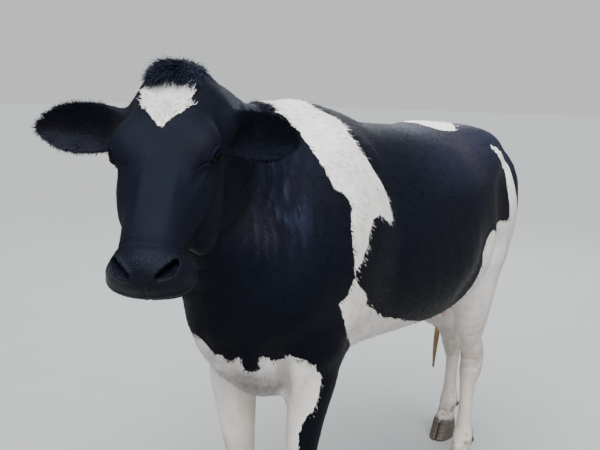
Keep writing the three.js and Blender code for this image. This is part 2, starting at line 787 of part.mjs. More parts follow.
// Legs: an upper part down to the knee or hock, a shank, two claws and two dewclaws.
function addLeg(end, name, side, space, middle, cut, foot) {
  const { x, y, fetlockY } = foot;
  const upper = meshed(span(0, side * 330, middle - 330, middle + 420, cut - 70, 1120), LEG_CELL);
  add(`${end}leg_${name}_upper`, upper.intersect(ours([...space, above(cut)])), whiteCoat);
  let shank = meshed(span(side * 20, side * 240, y - 200, y + 240, 30, cut + 60), SHANK_CELL)
    .intersect(ours([...space, below(cut), above(CORONET)]));
  for (const [place, outwards] of [['outer', side], ['inner', -side]]) {
    shank = shank.subtract(dewclaw(x, fetlockY, outwards, GAP));
    add(`dewclaw_${end}_${name}_${place}`, dewclaw(x, fetlockY, outwards), horn);
    add(`claw_${end}_${name}_${place}`, claw(x, y, outwards), horn);
  }
  add(`${end}leg_${name}_lower`, shank, whiteCoat);
}
for (const [name, side] of SIDES) {
  const step = HIND_STEP[name];
  addLeg('fore', name, side, foreSpace(side), -80, KNEE_CUT, {
    x: side * FORE_SPREAD, y: -100, fetlockY: -66,
  });
  addLeg('hind', name, side, hindSpace(side), 1090 + step * 0.4, HOCK_CUT, {
    x: side * HIND_SPREAD, y: 1074 + step, fetlockY: 1110 + step,
  });
}

// The origin goes to the floor, under the middle of the whole model.
const outside = new THREE.Box3().setFromObject(cow);
const middle = outside.getCenter(vector(0, 0, 0));
cow.position.set(-middle.x, -middle.y, -outside.min.z);

export default cow;
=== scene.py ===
# %% [markdown]
# # A standing dairy cow
#
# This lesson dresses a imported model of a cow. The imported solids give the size, the pose
# and the places of all the parts. They are plain, so the flesh is replaced by one skin,
# the skin gets a coat of small locks of hair, and the eyes and claws are made again with
# the detail of real ones. Everything is in metres, she faces -Y, and +Z is up.

import itertools
import json
import math
import time

import bmesh
import bpy
import numpy as np
from mathutils import Matrix, Vector

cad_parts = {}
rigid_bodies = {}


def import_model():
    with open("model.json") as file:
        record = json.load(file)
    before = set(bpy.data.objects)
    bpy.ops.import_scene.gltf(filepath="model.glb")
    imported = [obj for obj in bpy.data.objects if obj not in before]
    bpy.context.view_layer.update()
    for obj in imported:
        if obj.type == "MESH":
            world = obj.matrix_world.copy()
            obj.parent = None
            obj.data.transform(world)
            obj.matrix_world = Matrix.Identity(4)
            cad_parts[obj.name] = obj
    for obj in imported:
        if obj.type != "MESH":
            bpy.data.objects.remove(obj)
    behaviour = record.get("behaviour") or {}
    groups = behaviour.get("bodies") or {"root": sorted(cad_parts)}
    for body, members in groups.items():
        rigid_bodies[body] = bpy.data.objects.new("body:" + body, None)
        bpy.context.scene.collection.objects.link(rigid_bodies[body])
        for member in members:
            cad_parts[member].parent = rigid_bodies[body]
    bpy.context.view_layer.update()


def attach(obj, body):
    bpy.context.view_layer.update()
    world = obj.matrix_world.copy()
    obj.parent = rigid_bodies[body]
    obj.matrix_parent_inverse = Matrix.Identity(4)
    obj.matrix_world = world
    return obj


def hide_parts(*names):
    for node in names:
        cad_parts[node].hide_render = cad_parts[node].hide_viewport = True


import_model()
started = time.time()


def clock():
    """The seconds since the start, for the prints."""
    return f"{time.time() - started:.1f} s"


# %% [markdown]
# ## The camera comes first
#
# The body is described from its withers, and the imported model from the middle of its
# footprint, so one number moves one to the other. The camera stands in front of her left
# shoulder at about eye height and looks down a little.

# %% Camera
FORWARD_SHIFT = -0.37919      # the withers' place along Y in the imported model
PICTURE_WIDTH = 600           # pixels
CAMERA_PLACE = Vector((1.345, -1.77 + FORWARD_SHIFT, 1.622))
CAMERA_TURN = math.radians(36.4)
CAMERA_DIP = math.radians(10.44)
CAMERA_ROLL = math.radians(0.9)
FOCAL_PIXELS = 765.0
SENSOR_MM = 36.0

camera = bpy.data.objects.new("camera", bpy.data.cameras.new("camera"))
bpy.context.scene.collection.objects.link(camera)
back = Vector((
    math.sin(CAMERA_TURN) * math.cos(CAMERA_DIP),
    -math.cos(CAMERA_TURN) * math.cos(CAMERA_DIP),
    math.sin(CAMERA_DIP),
))
right = Vector((math.cos(CAMERA_TURN), math.sin(CAMERA_TURN), 0))
above = back.cross(right)
level_right = right * math.cos(CAMERA_ROLL) + above * math.sin(CAMERA_ROLL)
level_up = above * math.cos(CAMERA_ROLL) - right * math.sin(CAMERA_ROLL)
axes = (level_right, level_up, back, CAMERA_PLACE)
camera.matrix_world = Matrix([[axis[i] for axis in axes] for i in range(3)] + [[0, 0, 0, 1]])
camera.data.sensor_width = SENSOR_MM
camera.data.lens = FOCAL_PIXELS / PICTURE_WIDTH * SENSOR_MM
camera.data.clip_end = 200
bpy.context.scene.camera = camera
print("lens", round(camera.data.lens, 1), "mm")

# %% [markdown]
# ## The body as one smooth field
#
# An animal has no edges, so its skin can't be bevelled out of boxes. One way is to
# sculpt it. Here the body is a formula instead: each muscle or limb gives a number that
# is negative inside and positive outside, and neighbouring numbers are blended so that
# the shapes flow together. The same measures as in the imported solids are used, in
# millimetres from the withers. All functions take arrays of points, which keeps them fast.

# %% Tools for fields
def join(a, b, reach):
    """Two shapes made one, with a fillet about as wide as the reach."""
    overlap = np.maximum(reach - np.abs(a - b), 0) / reach
    return np.minimum(a, b) - overlap * overlap * reach / 4


def carve(a, b, reach):
    """Shape a with shape b taken out of it."""
    return -join(-a, b, reach)


ELLIPSOID = 2.0                # the squareness of a plain ellipsoid


def radial(x, y, z, rx, ry, rz, squareness=ELLIPSOID):
    """Distance to the surface of an ellipsoid or rounded box, along the line from its centre."""
    away = np.sqrt(x * x + y * y + z * z)
    if squareness == ELLIPSOID:
        scale = np.sqrt((x / rx) ** 2 + (y / ry) ** 2 + (z / rz) ** 2)
    else:
        parts = np.abs(x / rx) ** squareness + np.abs(y / ry) ** squareness
        scale = (parts + np.abs(z / rz) ** squareness) ** (1 / squareness)
    return away * (1 - 1 / np.maximum(scale, 1e-6))


def profile(rows, column, at):
    """A smooth run through the given column of the rows, over the first column."""
    rows = np.asarray(rows, float)
    key, value = rows[:, 0], rows[:, column]
    slope = np.empty(len(rows))
    slope[1:-1] = (value[2:] - value[:-2]) / (key[2:] - key[:-2])
    slope[0] = (value[1] - value[0]) / (key[1] - key[0])
    slope[-1] = (value[-1] - value[-2]) / (key[-1] - key[-2])
    at = np.clip(at, key[0], key[-1])
    i = np.clip(np.searchsorted(key, at, side="left") - 1, 0, len(rows) - 2)
    width = key[i + 1] - key[i]
    t = (at - key[i]) / width
    start = (2 * t**3 - 3 * t**2 + 1) * value[i] + (t**3 - 2 * t**2 + t) * width * slope[i]
    end = (3 * t**2 - 2 * t**3) * value[i + 1] + (t**3 - t**2) * width * slope[i + 1]
    return start + end


def smooth_path(points, steps):
    """A centripetal curve through the points, with the given steps to each span."""
    points = np.asarray(points, float)
    ends = np.vstack([2 * points[0] - points[1], points, 2 * points[-1] - points[-2]])
    out = []
    for i in range(len(points) - 1):
        a, b, c, d = ends[i:i + 4]
        gap0, gap1, gap2 = (max(np.linalg.norm(v), 1e-3) ** 0.5 for v in (b - a, c - b, d - c))
        start = ((b - a) / gap0 - (c - a) / (gap0 + gap1) + (c - b) / gap1) * gap1
        end = ((c - b) / gap1 - (d - b) / (gap1 + gap2) + (d - c) / gap2) * gap1
        for k in range(steps):
            t = k / steps
            curve = b + start * t + (3 * (c - b) - 2 * start - end) * t**2
            out.append(curve + (2 * (b - c) + start + end) * t**3)
    out.append(points[-1])
    return np.array(out)


class Limb:
    """A tapering limb through rows of [x, y, z, half width across, half depth fore and aft]."""

    def __init__(self, rows, steps=3):
        rows = np.column_stack([np.arange(len(rows)), rows])
        self.path = smooth_path(rows[:, 1:4], steps)
        at = np.arange(len(self.path)) / steps
        self.across, self.along = profile(rows, 4, at), profile(rows, 5, at)
        widest = max(self.across.max(), self.along.max())
        self.low = self.path.min(0) - widest
        self.high = self.path.max(0) + widest

    def __call__(self, p):
        nearest = np.full(len(p), np.inf)
        for i in range(len(self.path) - 1):
            start, run = self.path[i], self.path[i + 1] - self.path[i]
            axis = run / np.linalg.norm(run)
            side = np.array([1.0, 0, 0]) - axis * axis[0]
            side /= np.linalg.norm(side)
            fore = np.cross(axis, side)
            offset = p - start
            t = np.clip(offset @ run / (run @ run), 0, 1)
            offset = offset - t[:, None] * run
            across = self.across[i] + t * (self.across[i + 1] - self.across[i])
            along = self.along[i] + t * (self.along[i + 1] - self.along[i])
            cap = np.minimum(across, along)
            value = radial(offset @ side, offset @ fore, offset @ axis, across, along, cap)
            nearest = np.minimum(nearest, value)
        return nearest


SPARE = 40.0                   # millimetres round a shape's box, so that no fillet is cut off


def join_near(value, p, shape, low, high, reach):
    """Joins a shape to the field, working it out only where it can matter."""
    near = np.all((p > low - reach - SPARE) & (p < high + reach + SPARE), axis=1)
    if near.any():
        value[near] = join(value[near], shape(p[near]), reach)
    return value


print("a fillet between two walls takes off", round(float(-join(np.zeros(1), np.zeros(1), 20)[0]), 1), "mm")

# %% [markdown]
# ## Trunk, legs and udder
#
# The trunk is a barrel whose width, top and underside change along the body. On it sit
# the paired masses that one can feel on a real cow: shoulder blade, point of shoulder,
# upper arm, hip bone, thigh and pin bone. The legs are tapering limbs, and the finer
# forms, such as the hollow of the flank and the grooves beside the tendons, are carved.

# %% The trunk and its masses
TRUNK = [
    [-250, 135, 1370, 860, 1090],
    [-150, 200, 1490, 770, 1085],
    [0, 254, 1545, 762, 1085],
    [170, 285, 1527, 792, 1075],
    [400, 328, 1508, 788, 1065],
    [640, 345, 1494, 776, 1050],
    [820, 322, 1494, 800, 1070],
    [960, 260, 1490, 885, 1140],
    [1110, 226, 1460, 960, 1180],
    [1235, 176, 1408, 1040, 1220],
    [1285, 130, 1358, 1080, 1220],
]
TRUNK_SQUARE = 2.15            # a little squarer than an ellipse
TRUNK_ENDS = 70                # how far its rounded ends stand out


def rounded_bar(p, rows, squareness, ends):
    """A long rounded form, from rows of [place, half width, top, underside, widest]."""
    at = np.clip(p[:, 1], rows[0][0], rows[-1][0])
    widest = profile(rows, 4, at)
    rise = p[:, 2] - widest
    tall = np.where(rise > 0, profile(rows, 2, at) - widest, widest - profile(rows, 3, at))
    return radial(p[:, 0], p[:, 1] - at, rise, profile(rows, 1, at), ends, tall, squareness)


def ellipsoid(centre, radii, blend):
    """An ellipsoid with its own box, ready for the list of masses."""
    centre, radii = np.array(centre, float), np.array(radii, float)
    return (lambda p: radial(*(p - centre).T, *radii), centre - radii, centre + radii, blend)


def tapering(rows, blend, steps=3):
    shape = Limb(rows, steps)
    return (shape, shape.low, shape.high, blend)


def paired_masses(side):
    return [
        ellipsoid((side * 158, 10, 1230), (102, 150, 240), 120),
        ellipsoid((side * 148, -165, 1065), (82, 96, 115), 90),
        ellipsoid((side * 140, -45, 925), (80, 112, 125), 80),
        ellipsoid((side * 180, 930, 1382), (62, 110, 62), 160),
        ellipsoid((side * 126, 1110, 1120), (130, 200, 270), 110),
        ellipsoid((side * 108, 1262, 1245), (64, 60, 92), 110),
    ]


BRISKET = [
    [0, -205, 1180, 135, 115],
    [0, -250, 1000, 112, 112],
    [0, -205, 870, 80, 84],
    [0, -118, 800, 68, 70],
    [0, 40, 830, 84, 70],
]
NECK = [
    [0, 40, 1215, 198, 318],
    [4, -110, 1264, 160, 306],
    [14, -240, 1338, 124, 258],
    [34, -350, 1415, 106, 195],
    [60, -440, 1500, 92, 145],
]
print("trunk:", len(TRUNK), "sections, neck:", len(NECK), "and brisket:", len(BRISKET))

# %% Legs and udder
HIND_STEP = {1: -10, -1: 300}     # how far the left and the right hind foot is placed back
CORONET = 78                      # height of the hairline over the claws
FORELEG = [                    # across, back, share of the step, height, half widths
    (160, -62, 0, 880, 80, 108),
    (146, -70, 0, 780, 70, 82),
    (130, -78, 0, 680, 60, 67),
    (120, -82, 0, 580, 49, 56),
    (114, -83, 0, 490, 42, 47),
    (110, -86, 0, 425, 48, 52),
    (110, -80, 0, 365, 37, 41),
    (110, -74, 0, 280, 29, 35),
    (110, -68, 0, 205, 32, 38),
    (110, -66, 0, 160, 41, 44),
    (110, -84, 0, 112, 40, 41),
    (110, -104, 0, 60, 49, 51),
]
HINDLEG = [
    (146, 1030, 0.02, 940, 98, 160),
    (146, 1040, 0.2, 810, 82, 132),
    (135, 1065, 0.45, 690, 62, 96),
    (122, 1104, 0.72, 595, 45, 64),
    (114, 1138, 0.88, 510, 43, 64),
    (110, 1138, 0.94, 445, 43, 53),
    (108, 1128, 1, 380, 33, 41),
    (108, 1120, 1, 285, 30, 37),
    (108, 1114, 1, 208, 34, 40),
    (108, 1110, 1, 165, 42, 45),
    (108, 1090, 1, 112, 40, 42),
    (108, 1070, 1, 60, 48, 51),
]
HEEL = [
    (110, 1152, 0.92, 455, 34, 39),
    (113, 1192, 0.86, 552, 25, 25),
    (116, 1172, 0.80, 592, 16, 17),
    (122, 1154, 0.66, 660, 15, 17),
]
TAIL = [
    [0, 1250, 1368, 30, 30],
    [0, 1335, 1350, 30, 30],
    [-8, 1400, 1250, 26, 26],
    [-34, 1440, 1080, 22, 22],
    [-92, 1478, 880, 19, 19],
    [-160, 1505, 720, 18, 18],
    [-205, 1518, 600, 20, 20],
    [-222, 1521, 540, 12, 12],
]
UDDER = []
for side in (-1, 1):
    UDDER.append(ellipsoid((side * 32, 1035, 822), (38, 72, 98), 50))
    UDDER.append(ellipsoid((side * 31, 1140, 835), (36, 66, 98), 50))
    UDDER.append(tapering([[side * 32, 1012, 745, 14, 14], [side * 34, 1006, 668, 10, 10]], 14))
    UDDER.append(tapering([[side * 30, 1128, 755, 14, 14], [side * 31, 1130, 682, 10, 10]], 14))

BODY_MASSES = [tapering(NECK, 150), tapering(BRISKET, 120), *paired_masses(1), *paired_masses(-1)]
for side, (rows, blend) in itertools.product((1, -1), ((FORELEG, 60), (HINDLEG, 70), (HEEL, 30))):
    placed = [[side * x, y + HIND_STEP[side] * share, z, a, b] for x, y, share, z, a, b in rows]
    BODY_MASSES.append(tapering(placed, blend))
BODY_MASSES += UDDER
BODY_MASSES.append(tapering(TAIL, 36, steps=4))
print("masses of the body:", len(BODY_MASSES))

# %% Small forms of the body
def bell(value, width):
    return np.exp(-(value / width) ** 2)


def ramp(value, start, end):
    """0 before the start and 1 after the end, with a smooth change between."""
    t = np.clip((value - start) / (end - start), 0, 1)
    return t * t * (3 - 2 * t)


def off_line(p, a, b):
    """How far along the line from a to b each point lies, from 0 to 1, and how far off it."""
    run = b - a
    t = np.clip((p - a) @ run / (run @ run), 0, 1)
    return t, np.linalg.norm(p - a - t[:, None] * run, axis=1)


def groove(p, path, wide):
    """1 on a line through the points, falling away over the width and at its upper end."""
    path = np.array(path, float)
    nearest, part = np.full(len(p), np.inf), np.zeros(len(p))
    for i, (a, b) in enumerate(zip(path[:-1], path[1:])):
        t, gap = off_line(p, a, b)
        part = np.where(gap < nearest, (i + t) / (len(path) - 1), part)
        nearest = np.minimum(nearest, gap)
    return bell(nearest, wide) * ramp(part, 0, 0.4)


CREASE_WIDE = 15
BRISKET_CREASES = [            # a line of points, then its depth
    ([(52, -330, 900), (48, -290, 830), (52, -215, 735)], 14),
    ([(140, -208, 922), (131, -190, 872), (121, -173, 832), (109, -156, 790), (90, -139, 755)], 32),
    ([(-56, -320, 890), (-66, -270, 820), (-76, -200, 745), (-80, -150, 700)], 28),
]


def body_relief(p):
    """Hollows (positive) and swellings (negative) of the skin, in millimetres."""
    x, y, z = p.T
    side = np.abs(x)
    relief = 13 * bell(y - 850, 75) * bell(z - 1385, 60) * ramp(side, 120, 200)
    rib = np.sin((y + 0.25 * (z - 1100)) / 78 * 2 * math.pi)
    barrel = ramp(y, 250, 360) * (1 - ramp(y, 720, 800)) * bell(z - 1180, 190) * ramp(side, 200, 280)
    relief -= 0.7 * rib * barrel
    # behind the shoulder, and the stifle's fold
    relief += 5 * bell(y - 175, 34) * bell(z - 1200, 190) * ramp(side, 150, 230)
    relief += 4 * bell(y + 95 + (z - 1180) * 0.35, 26) * bell(z - 1200, 170) * ramp(side, 110, 180)
    relief -= 7 * bell(y - 905 + (z - 900) * 0.7, 28) * bell(z - 905, 70) * ramp(side, 130, 190)
    # middle of the brisket, hollow before the thigh, hollow below the flank, croup
    relief += 3 * bell(x, 16) * bell(z - 905, 90) * (1 - ramp(y, -260, -180))
    relief += 30 * bell(y - 735, 100) * bell(z - 1050, 110) * ramp(side, 180, 260)
    relief += 28 * bell(y - 650, 120) * bell(z - 935, 80) * ramp(side, 150, 230)
    relief -= 9 * bell(y - 790, 90) * bell(side - 40, 90) * ramp(z, 1400, 1450)
    # behind the elbow, forearm, and the fold over the left elbow
    relief += 24 * bell(y - 112, 58) * bell(z - 792, 46) * ramp(side, 40, 90)
    front = 1 - ramp(y, -150, -20)
    relief -= 16 * bell(z - 735, 80) * ramp(-x, 110, 170) * ramp(-y, 20, 70)
    relief -= 13 * bell(z - 610, 110) * ramp(-x, 95, 145) * front
    relief += 18 * bell(z - 838, 46) * ramp(x, 130, 200) * bell(y + 40, 90)
    relief += 19 * bell(z - 903, 44) * ramp(x, 130, 200) * bell(y - 12, 62)
    for crease_path, deep in BRISKET_CREASES:
        relief += deep * groove(p, crease_path, CREASE_WIDE) * front
    for turn, deep in ((0.0, 3.2), (34.0, 2.2)):
        fold = z - 842 + 0.9 * (side - 40) + turn
        relief += deep * bell(fold, 6) * (1 - ramp(y, -210, -120)) * (1 - ramp(side, 70, 110))
    # folds where the neck bends to her left
    crease = y + 250 - 0.55 * (1330 - z)
    folds = bell(crease + 8, 14) + 0.6 * bell(crease + 62, 16)
    relief += 2.2 * folds * ramp(x, 70, 110) * bell(z - 1330, 90)
    # tendons, knee and its creases
    low = 1 - ramp(z, 330, 380)
    fore = 1 - ramp(y, 300, 400)
    across = side - np.where(fore > 0.5, 110, 108)
    back = np.where(x > 0, 1104, 1414)
    along = np.where(fore > 0.5, y + 66, y - back)
    tendon = ramp(z, 190, 230) * low
    relief += 3.4 * bell(along - 4, 8) * tendon * ramp(np.abs(across), 14, 24)
    knee = fore * bell(z - 432, 30) * (1 - ramp(y, -110, -90))
    relief -= 4 * knee
    relief += 1.6 * fore * (bell(z - 402, 4) + bell(z - 462, 4)) * (1 - ramp(y, -110, -90))
    # front of the hock, its string, and the pastern's crease
    hock_front = (1 - fore) * (1 - ramp(along, 0, 30))
    for height in (470, 488, 508):
        relief += 1.8 * hock_front * bell(z - height + 0.25 * along, 4.5)
    string = (1 - fore) * bell(z - 590, 70) * ramp(np.abs(side - 117), 10, 20)
    relief += 7 * string * bell(along - 28 + (z - 545) * 0.14, 13)
    relief += 1.6 * bell(z - 134, 6) * (1 - ramp(along, -60, -40))
    return relief


RELIEF_REACH = 60              # millimetres off the surface within which the relief is worked out


def trunk_and_limbs(p):
    value = rounded_bar(p, TRUNK, TRUNK_SQUARE, TRUNK_ENDS)
    for shape, low, high, blend in BODY_MASSES:
        value = join_near(value, p, shape, low, high, blend)
    near = np.abs(value) < RELIEF_REACH
    value[near] += body_relief(p[near])
    return value


middle_of_belly = np.array([[0.0, 500.0, 1100.0]])
print("the belly's middle lies", round(float(-trunk_and_limbs(middle_of_belly)[0])), "mm deep")


# %% [markdown]
# ## The head
#
# The head is described in its own axes: to her left, down the face, and out of the
# forehead. It is turned and lowered as one thing. Around each eye stands a ball for the
# lids, and an almond is carved out of it down to the eyeball. The nostrils are commas
# that go back and inwards, and folds of skin are shallow grooves.

# %% Head axes
POLL = np.array([56.0, -512.0, 1650.0])
HEAD_TURN = math.radians(33)
HEAD_DROOP = math.radians(49)
facing = np.array([math.sin(HEAD_TURN), -math.cos(HEAD_TURN), 0])
UP = np.array([0.0, 0.0, 1.0])
HEAD_LEFT = np.array([math.cos(HEAD_TURN), math.sin(HEAD_TURN), 0])
HEAD_DOWN = facing * math.cos(HEAD_DROOP) - UP * math.sin(HEAD_DROOP)
HEAD_OUT = facing * math.sin(HEAD_DROOP) + UP * math.cos(HEAD_DROOP)
HEAD_AXES = np.array([HEAD_LEFT, HEAD_DOWN, HEAD_OUT])


def to_head(p):
    return (p - POLL) @ HEAD_AXES.T


def from_head(h):
    return POLL + np.asarray(h, float) @ HEAD_AXES


def folded(h):
    """The head's points, with her right half laid over the left one."""
    h = h.copy()
    h[:, 0] = np.abs(h[:, 0])
    return h


def unit(v):
    v = np.asarray(v, float)
    return v / np.maximum(np.linalg.norm(v, axis=-1, keepdims=True), 1e-9)


def distance(p, centre):
    """How far each point lies from the centre."""
    return np.linalg.norm(p - centre, axis=1)


HEAD_CENTRE = from_head([0, 250, -90])
HEAD_REACH = 420               # no farther from the middle does a mask of the head reach
print("middle of the head:", HEAD_CENTRE.round().tolist(), "mm from the withers")


# %% Skull, muzzle and jaw
SKULL = [
    [0, 76, -14, -120, -55],
    [70, 94, 8, -178, -60],
    [140, 106, 14, -220, -62],
    [205, 108, 6, -246, -70],
    [270, 98, -6, -232, -75],
    [335, 83, -10, -195, -75],
    [400, 74, -8, -162, -70],
    [450, 74, -6, -150, -78],
    [477, 78, -16, -144, -80],
]
HEAD_MASSES = [
    ellipsoid((0, 16, -46), (64, 56, 60), 40),
    ellipsoid((0, 481, -74), (82, 42, 49), 36),
    ellipsoid((0, 456, -116), (66, 46, 32), 30),
    ellipsoid((80, 302, -168), (40, 84, 50), 45),
]
for side in (1, -1):
    HEAD_MASSES.append(ellipsoid((side * 54, 476, -104), (37, 34, 31), 30))
    HEAD_MASSES.append(ellipsoid((side * 87, 186, -32), (36, 46, 32), 50))
    HEAD_MASSES.append(ellipsoid((side * 60, 232, -150), (46, 84, 78), 50))
    HEAD_MASSES.append(ellipsoid((side * 72, 285, -84), (26, 76, 24), 40))
    root = [[side * 34, 12, -64, 40, 36], [side * 84, 62, -84, 38, 34], [side * 114, 90, -90, 34, 24]]
    HEAD_MASSES.append(tapering(root, 40))
print("masses of the head:", len(HEAD_MASSES))

# %% Eyes
EYE_RADIUS = 20.0
EYE_PLACE = np.array([106.0, 209.0, -46.0])
EYE_OUT = unit([0.80, 0.26, 0.54])       # the way the left eye looks, in the head's axes
EYE_ALONG = np.array([-0.45, 0.80, 0.34])
EYE_ALONG = unit(EYE_ALONG - EYE_OUT * (EYE_ALONG @ EYE_OUT))    # towards the inner corner
EYE_HIGH = unit(np.cross(EYE_OUT, EYE_ALONG))
EYE_HIGH *= np.sign(EYE_HIGH[2] + 1e-9)                          # towards the brow
LID_HALF = 19.5                          # half the length of the opening
LID_UPPER = 7.0
LID_LOWER = 7.0
LID_THICK = 5.6
LID_SLANT = 2.0                          # how far the inner corner lies lower than the middle


def eye_axes(h):
    """Along the lids, up over them and out of the eye, for either eye."""
    offset = folded(h) - EYE_PLACE
    return offset @ EYE_ALONG, offset @ EYE_HIGH, offset @ EYE_OUT, np.linalg.norm(offset, axis=1)


def lid_gap(along, high):
    """Millimetres outside the almond between the lids."""
    part = np.clip(along / LID_HALF, -1.6, 1.6)
    arch = 1 - part * part
    middle = -LID_SLANT * part
    upper = high - middle - LID_UPPER * arch
    lower = middle - high - LID_LOWER * arch
    return np.maximum(upper, lower)


def with_eyes(value, h):
    along, high, out, away = eye_axes(h)
    near = away < 85
    along, high, out, away = along[near], high[near], out[near], away[near]
    part = value[near]
    ball = away - (EYE_RADIUS + LID_THICK)
    part = join(part, ball, 16)
    gap = lid_gap(along, high)
    pocket = np.maximum(np.maximum(gap * 0.8, EYE_RADIUS - 1.2 - away), -out)
    part = carve(part, pocket, 3.5)
    ring = (away < 60) * (out > -10)
    folds = 1.7 * bell(gap - 8.5, 1.8) * (high > 0) + 1.2 * bell(gap - 7.5, 1.8) * (high < 0)
    part = part + ring * folds
    part = part + ring * (1.5 * bell(gap - 15.5, 2.6) + 0.9 * bell(gap - 23, 3)) * (high < 4)
    part = part + ring * 1.6 * bell(gap - 16, 2.6) * (high > 0) * ramp(along, -26, -6)
    value[near] = part
    return value


print("opening between the lids:", 2 * LID_HALF, "by", LID_UPPER + LID_LOWER, "mm")


# %% Nostrils, mouth and folds of the face
NOSTRIL = np.array([[33, 513, -29], [43, 507, -29], [53, 496, -31], [60, 482, -33], [63, 470, -36]], float)
NOSTRIL_WIDE = np.array([5.0, 9.5, 11.0, 8.0, 4.0])
NOSTRIL_INWARDS = unit([-0.45, -0.72, -0.55])
NOSTRIL_DEEP = 17


def nostril_gap(h):
    """Millimetres outside the nearer nostril's comma, which narrows as it goes in."""
    q = folded(h)
    nearest = np.full(len(q), np.inf)
    for i in range(len(NOSTRIL) - 1):
        offset = q - NOSTRIL[i]
        sunk = np.clip(offset @ NOSTRIL_INWARDS, 0, NOSTRIL_DEEP)
        offset = offset - sunk[:, None] * NOSTRIL_INWARDS
        t, away = off_line(offset, np.zeros(3), NOSTRIL[i + 1] - NOSTRIL[i])
        radius = NOSTRIL_WIDE[i] + t * (NOSTRIL_WIDE[i + 1] - NOSTRIL_WIDE[i])
        nearest = np.minimum(nearest, away - radius * (1 - 0.45 * sunk / NOSTRIL_DEEP))
    return nearest


MOUTH_HEIGHT = -103.0


def head_relief(h):
    """Hollows (positive) and swellings (negative) of the face, in millimetres."""
    x, y, z = h.T
    side = np.abs(x)
    top = ramp(z, -70, -30)
    # the dish between the eyes, and the edges of the nose bone
    relief = 5 * bell(x, 46) * bell(y - 205, 62) * top
    relief -= 2.5 * bell(side - 34, 13) * bell(y - 330, 75) * top
    relief += 2.5 * bell(side - 62, 15) * bell(y - 330, 62) * ramp(z, -80, -50)
    # below the eye's inner corner, and under the cheek's ridge
    trough = side - 92 + 0.30 * (y - 235)
    relief += 3.2 * bell(trough, 8) * bell(y - 262, 34) * ramp(z, -90, -50)
    relief += 4 * bell(z + 112, 16) * bell(y - 300, 60) * ramp(side, 40, 60)
    relief -= 2.5 * bell(z + 150, 26) * bell(y - 215, 50) * ramp(side, 50, 80)
    # wrinkles over the nose pad, and frown lines
    arch = y - 437 - 0.0016 * x * x
    relief += 3.6 * bell(arch, 4.5) * ramp(z, -75, -45) * (1 - ramp(side, 58, 74))
    relief -= 2.2 * bell(arch - 13, 8) * ramp(z, -75, -45) * (1 - ramp(side, 58, 74))
    relief += 1.7 * bell(arch + 17, 3.5) * ramp(z, -75, -45) * (1 - ramp(side, 40, 64))
    for place, deep in ((186, 1.0), (198, 1.3), (211, 1.1)):
        relief += deep * bell(y - place - 0.012 * x * x, 3.2) * bell(x + 6, 26) * top
    # groove of the lip, the mouth, the full upper lip and the folds at the mouth's corner
    relief += 1.8 * bell(x, 2.6) * ramp(y, 498, 508) * (1 - ramp(z, -44, -36))
    mouth = z - MOUTH_HEIGHT + 0.10 * (500 - y) + 0.0009 * x * x
    relief += 6.0 * bell(mouth, 3.0) * ramp(y, 388, 410)
    relief -= 3.0 * bell(mouth - 13, 8) * ramp(y, 420, 470)
    for i in range(4):
        relief += 1.3 * bell(mouth - 22 - 9 * i + 0.25 * (y - 420), 2.6) * bell(y - 425, 30)
    return relief


FACE_RELIEF_REACH = 45


def head_field(p):
    h = to_head(p)
    value = rounded_bar(h, SKULL, 2.3, 48)
    for shape, low, high, blend in HEAD_MASSES:
        value = join_near(value, h, shape, low, high, blend)
    near = np.abs(value) < FACE_RELIEF_REACH
    value[near] += head_relief(h[near])
    value = with_eyes(value, h)
    front = (h[:, 1] > 425) & (h[:, 1] < 560)
    if front.any():
        gap = nostril_gap(h[front])
        part = value[front] - 3.6 * bell(gap - 5.5, 4.5)
        value[front] = carve(part, gap, 5)
    return value


print("the face's middle lies", round(float(-head_field(HEAD_CENTRE[None])[0])), "mm deep")


# %% [markdown]
# ## The ears
#
# An ear is a cupped leaf on a round root. It is thin, so it has a shape of its own: the
# distance from a curved middle sheet, measured against a half width and a thickness that
# change from the root to the tip.

# %% Ears
EAR_LEAF = [
    [0, 0.36, 48, 0],
    [0.12, 0.42, 34, 12],
    [0.3, 0.49, 19, 26],
    [0.5, 0.5, 14, 28],
    [0.7, 0.45, 13, 22],
    [0.86, 0.31, 12.5, 13],
    [0.97, 0.13, 11, 5],
]
EAR_WIDTH = 112
EAR_REACH = 214
EAR_ROOT = np.array([88.0, 100.0, -88.0])
EAR_WAYS = {1: ((0.856, -0.206, -0.475), 4), -1: ((-0.999, 0.03, 0.01), 20)}    # in the head's axes
EAR_FRONT = np.array([0, 0.656, 0.755])
EARS = {}
for side, (way, stub) in EAR_WAYS.items():
    out = unit(np.array(way) @ HEAD_AXES)
    base = from_head(EAR_ROOT * np.array([side, 1, 1])) + out * stub
    front = unit(EAR_FRONT @ HEAD_AXES)
    front = unit(front - out * (front @ out))
    EARS[side] = {"base": base, "out": out, "front": front, "across": np.cross(front, out)}


def ear_axes(p, side):
    """How far along the ear, across it and in front of its middle sheet each point lies."""
    ear = EARS[side]
    offset = p - ear["base"]
    along = offset @ ear["out"]
    across = offset @ ear["across"]
    at = np.clip(along / EAR_REACH, 0, EAR_LEAF[-1][0])
    half = profile(EAR_LEAF, 1, at) * EAR_WIDTH
    cup = profile(EAR_LEAF, 3, at)
    sheet = cup * (np.minimum((across / half) ** 2, 1.6) - 0.5)
    return along, across, offset @ ear["front"] - sheet, at, half


def each_ear(p, reach=300):
    """For either ear: its axes, which points are near it, and their places on it."""
    for side, ear in EARS.items():
        near = np.flatnonzero(distance(p, ear["base"]) < reach)
        yield ear, near, *ear_axes(p[near], side)


def ear_field(p, side):
    along, across, thick, at, half = ear_axes(p, side)
    beyond = along - at * EAR_REACH
    depth = profile(EAR_LEAF, 2, at) / 2
    inner = np.maximum(half - depth, 2)
    outer = np.maximum(np.abs(across) - inner, 0)
    return np.sqrt(outer * outer + thick * thick + beyond * beyond) - depth


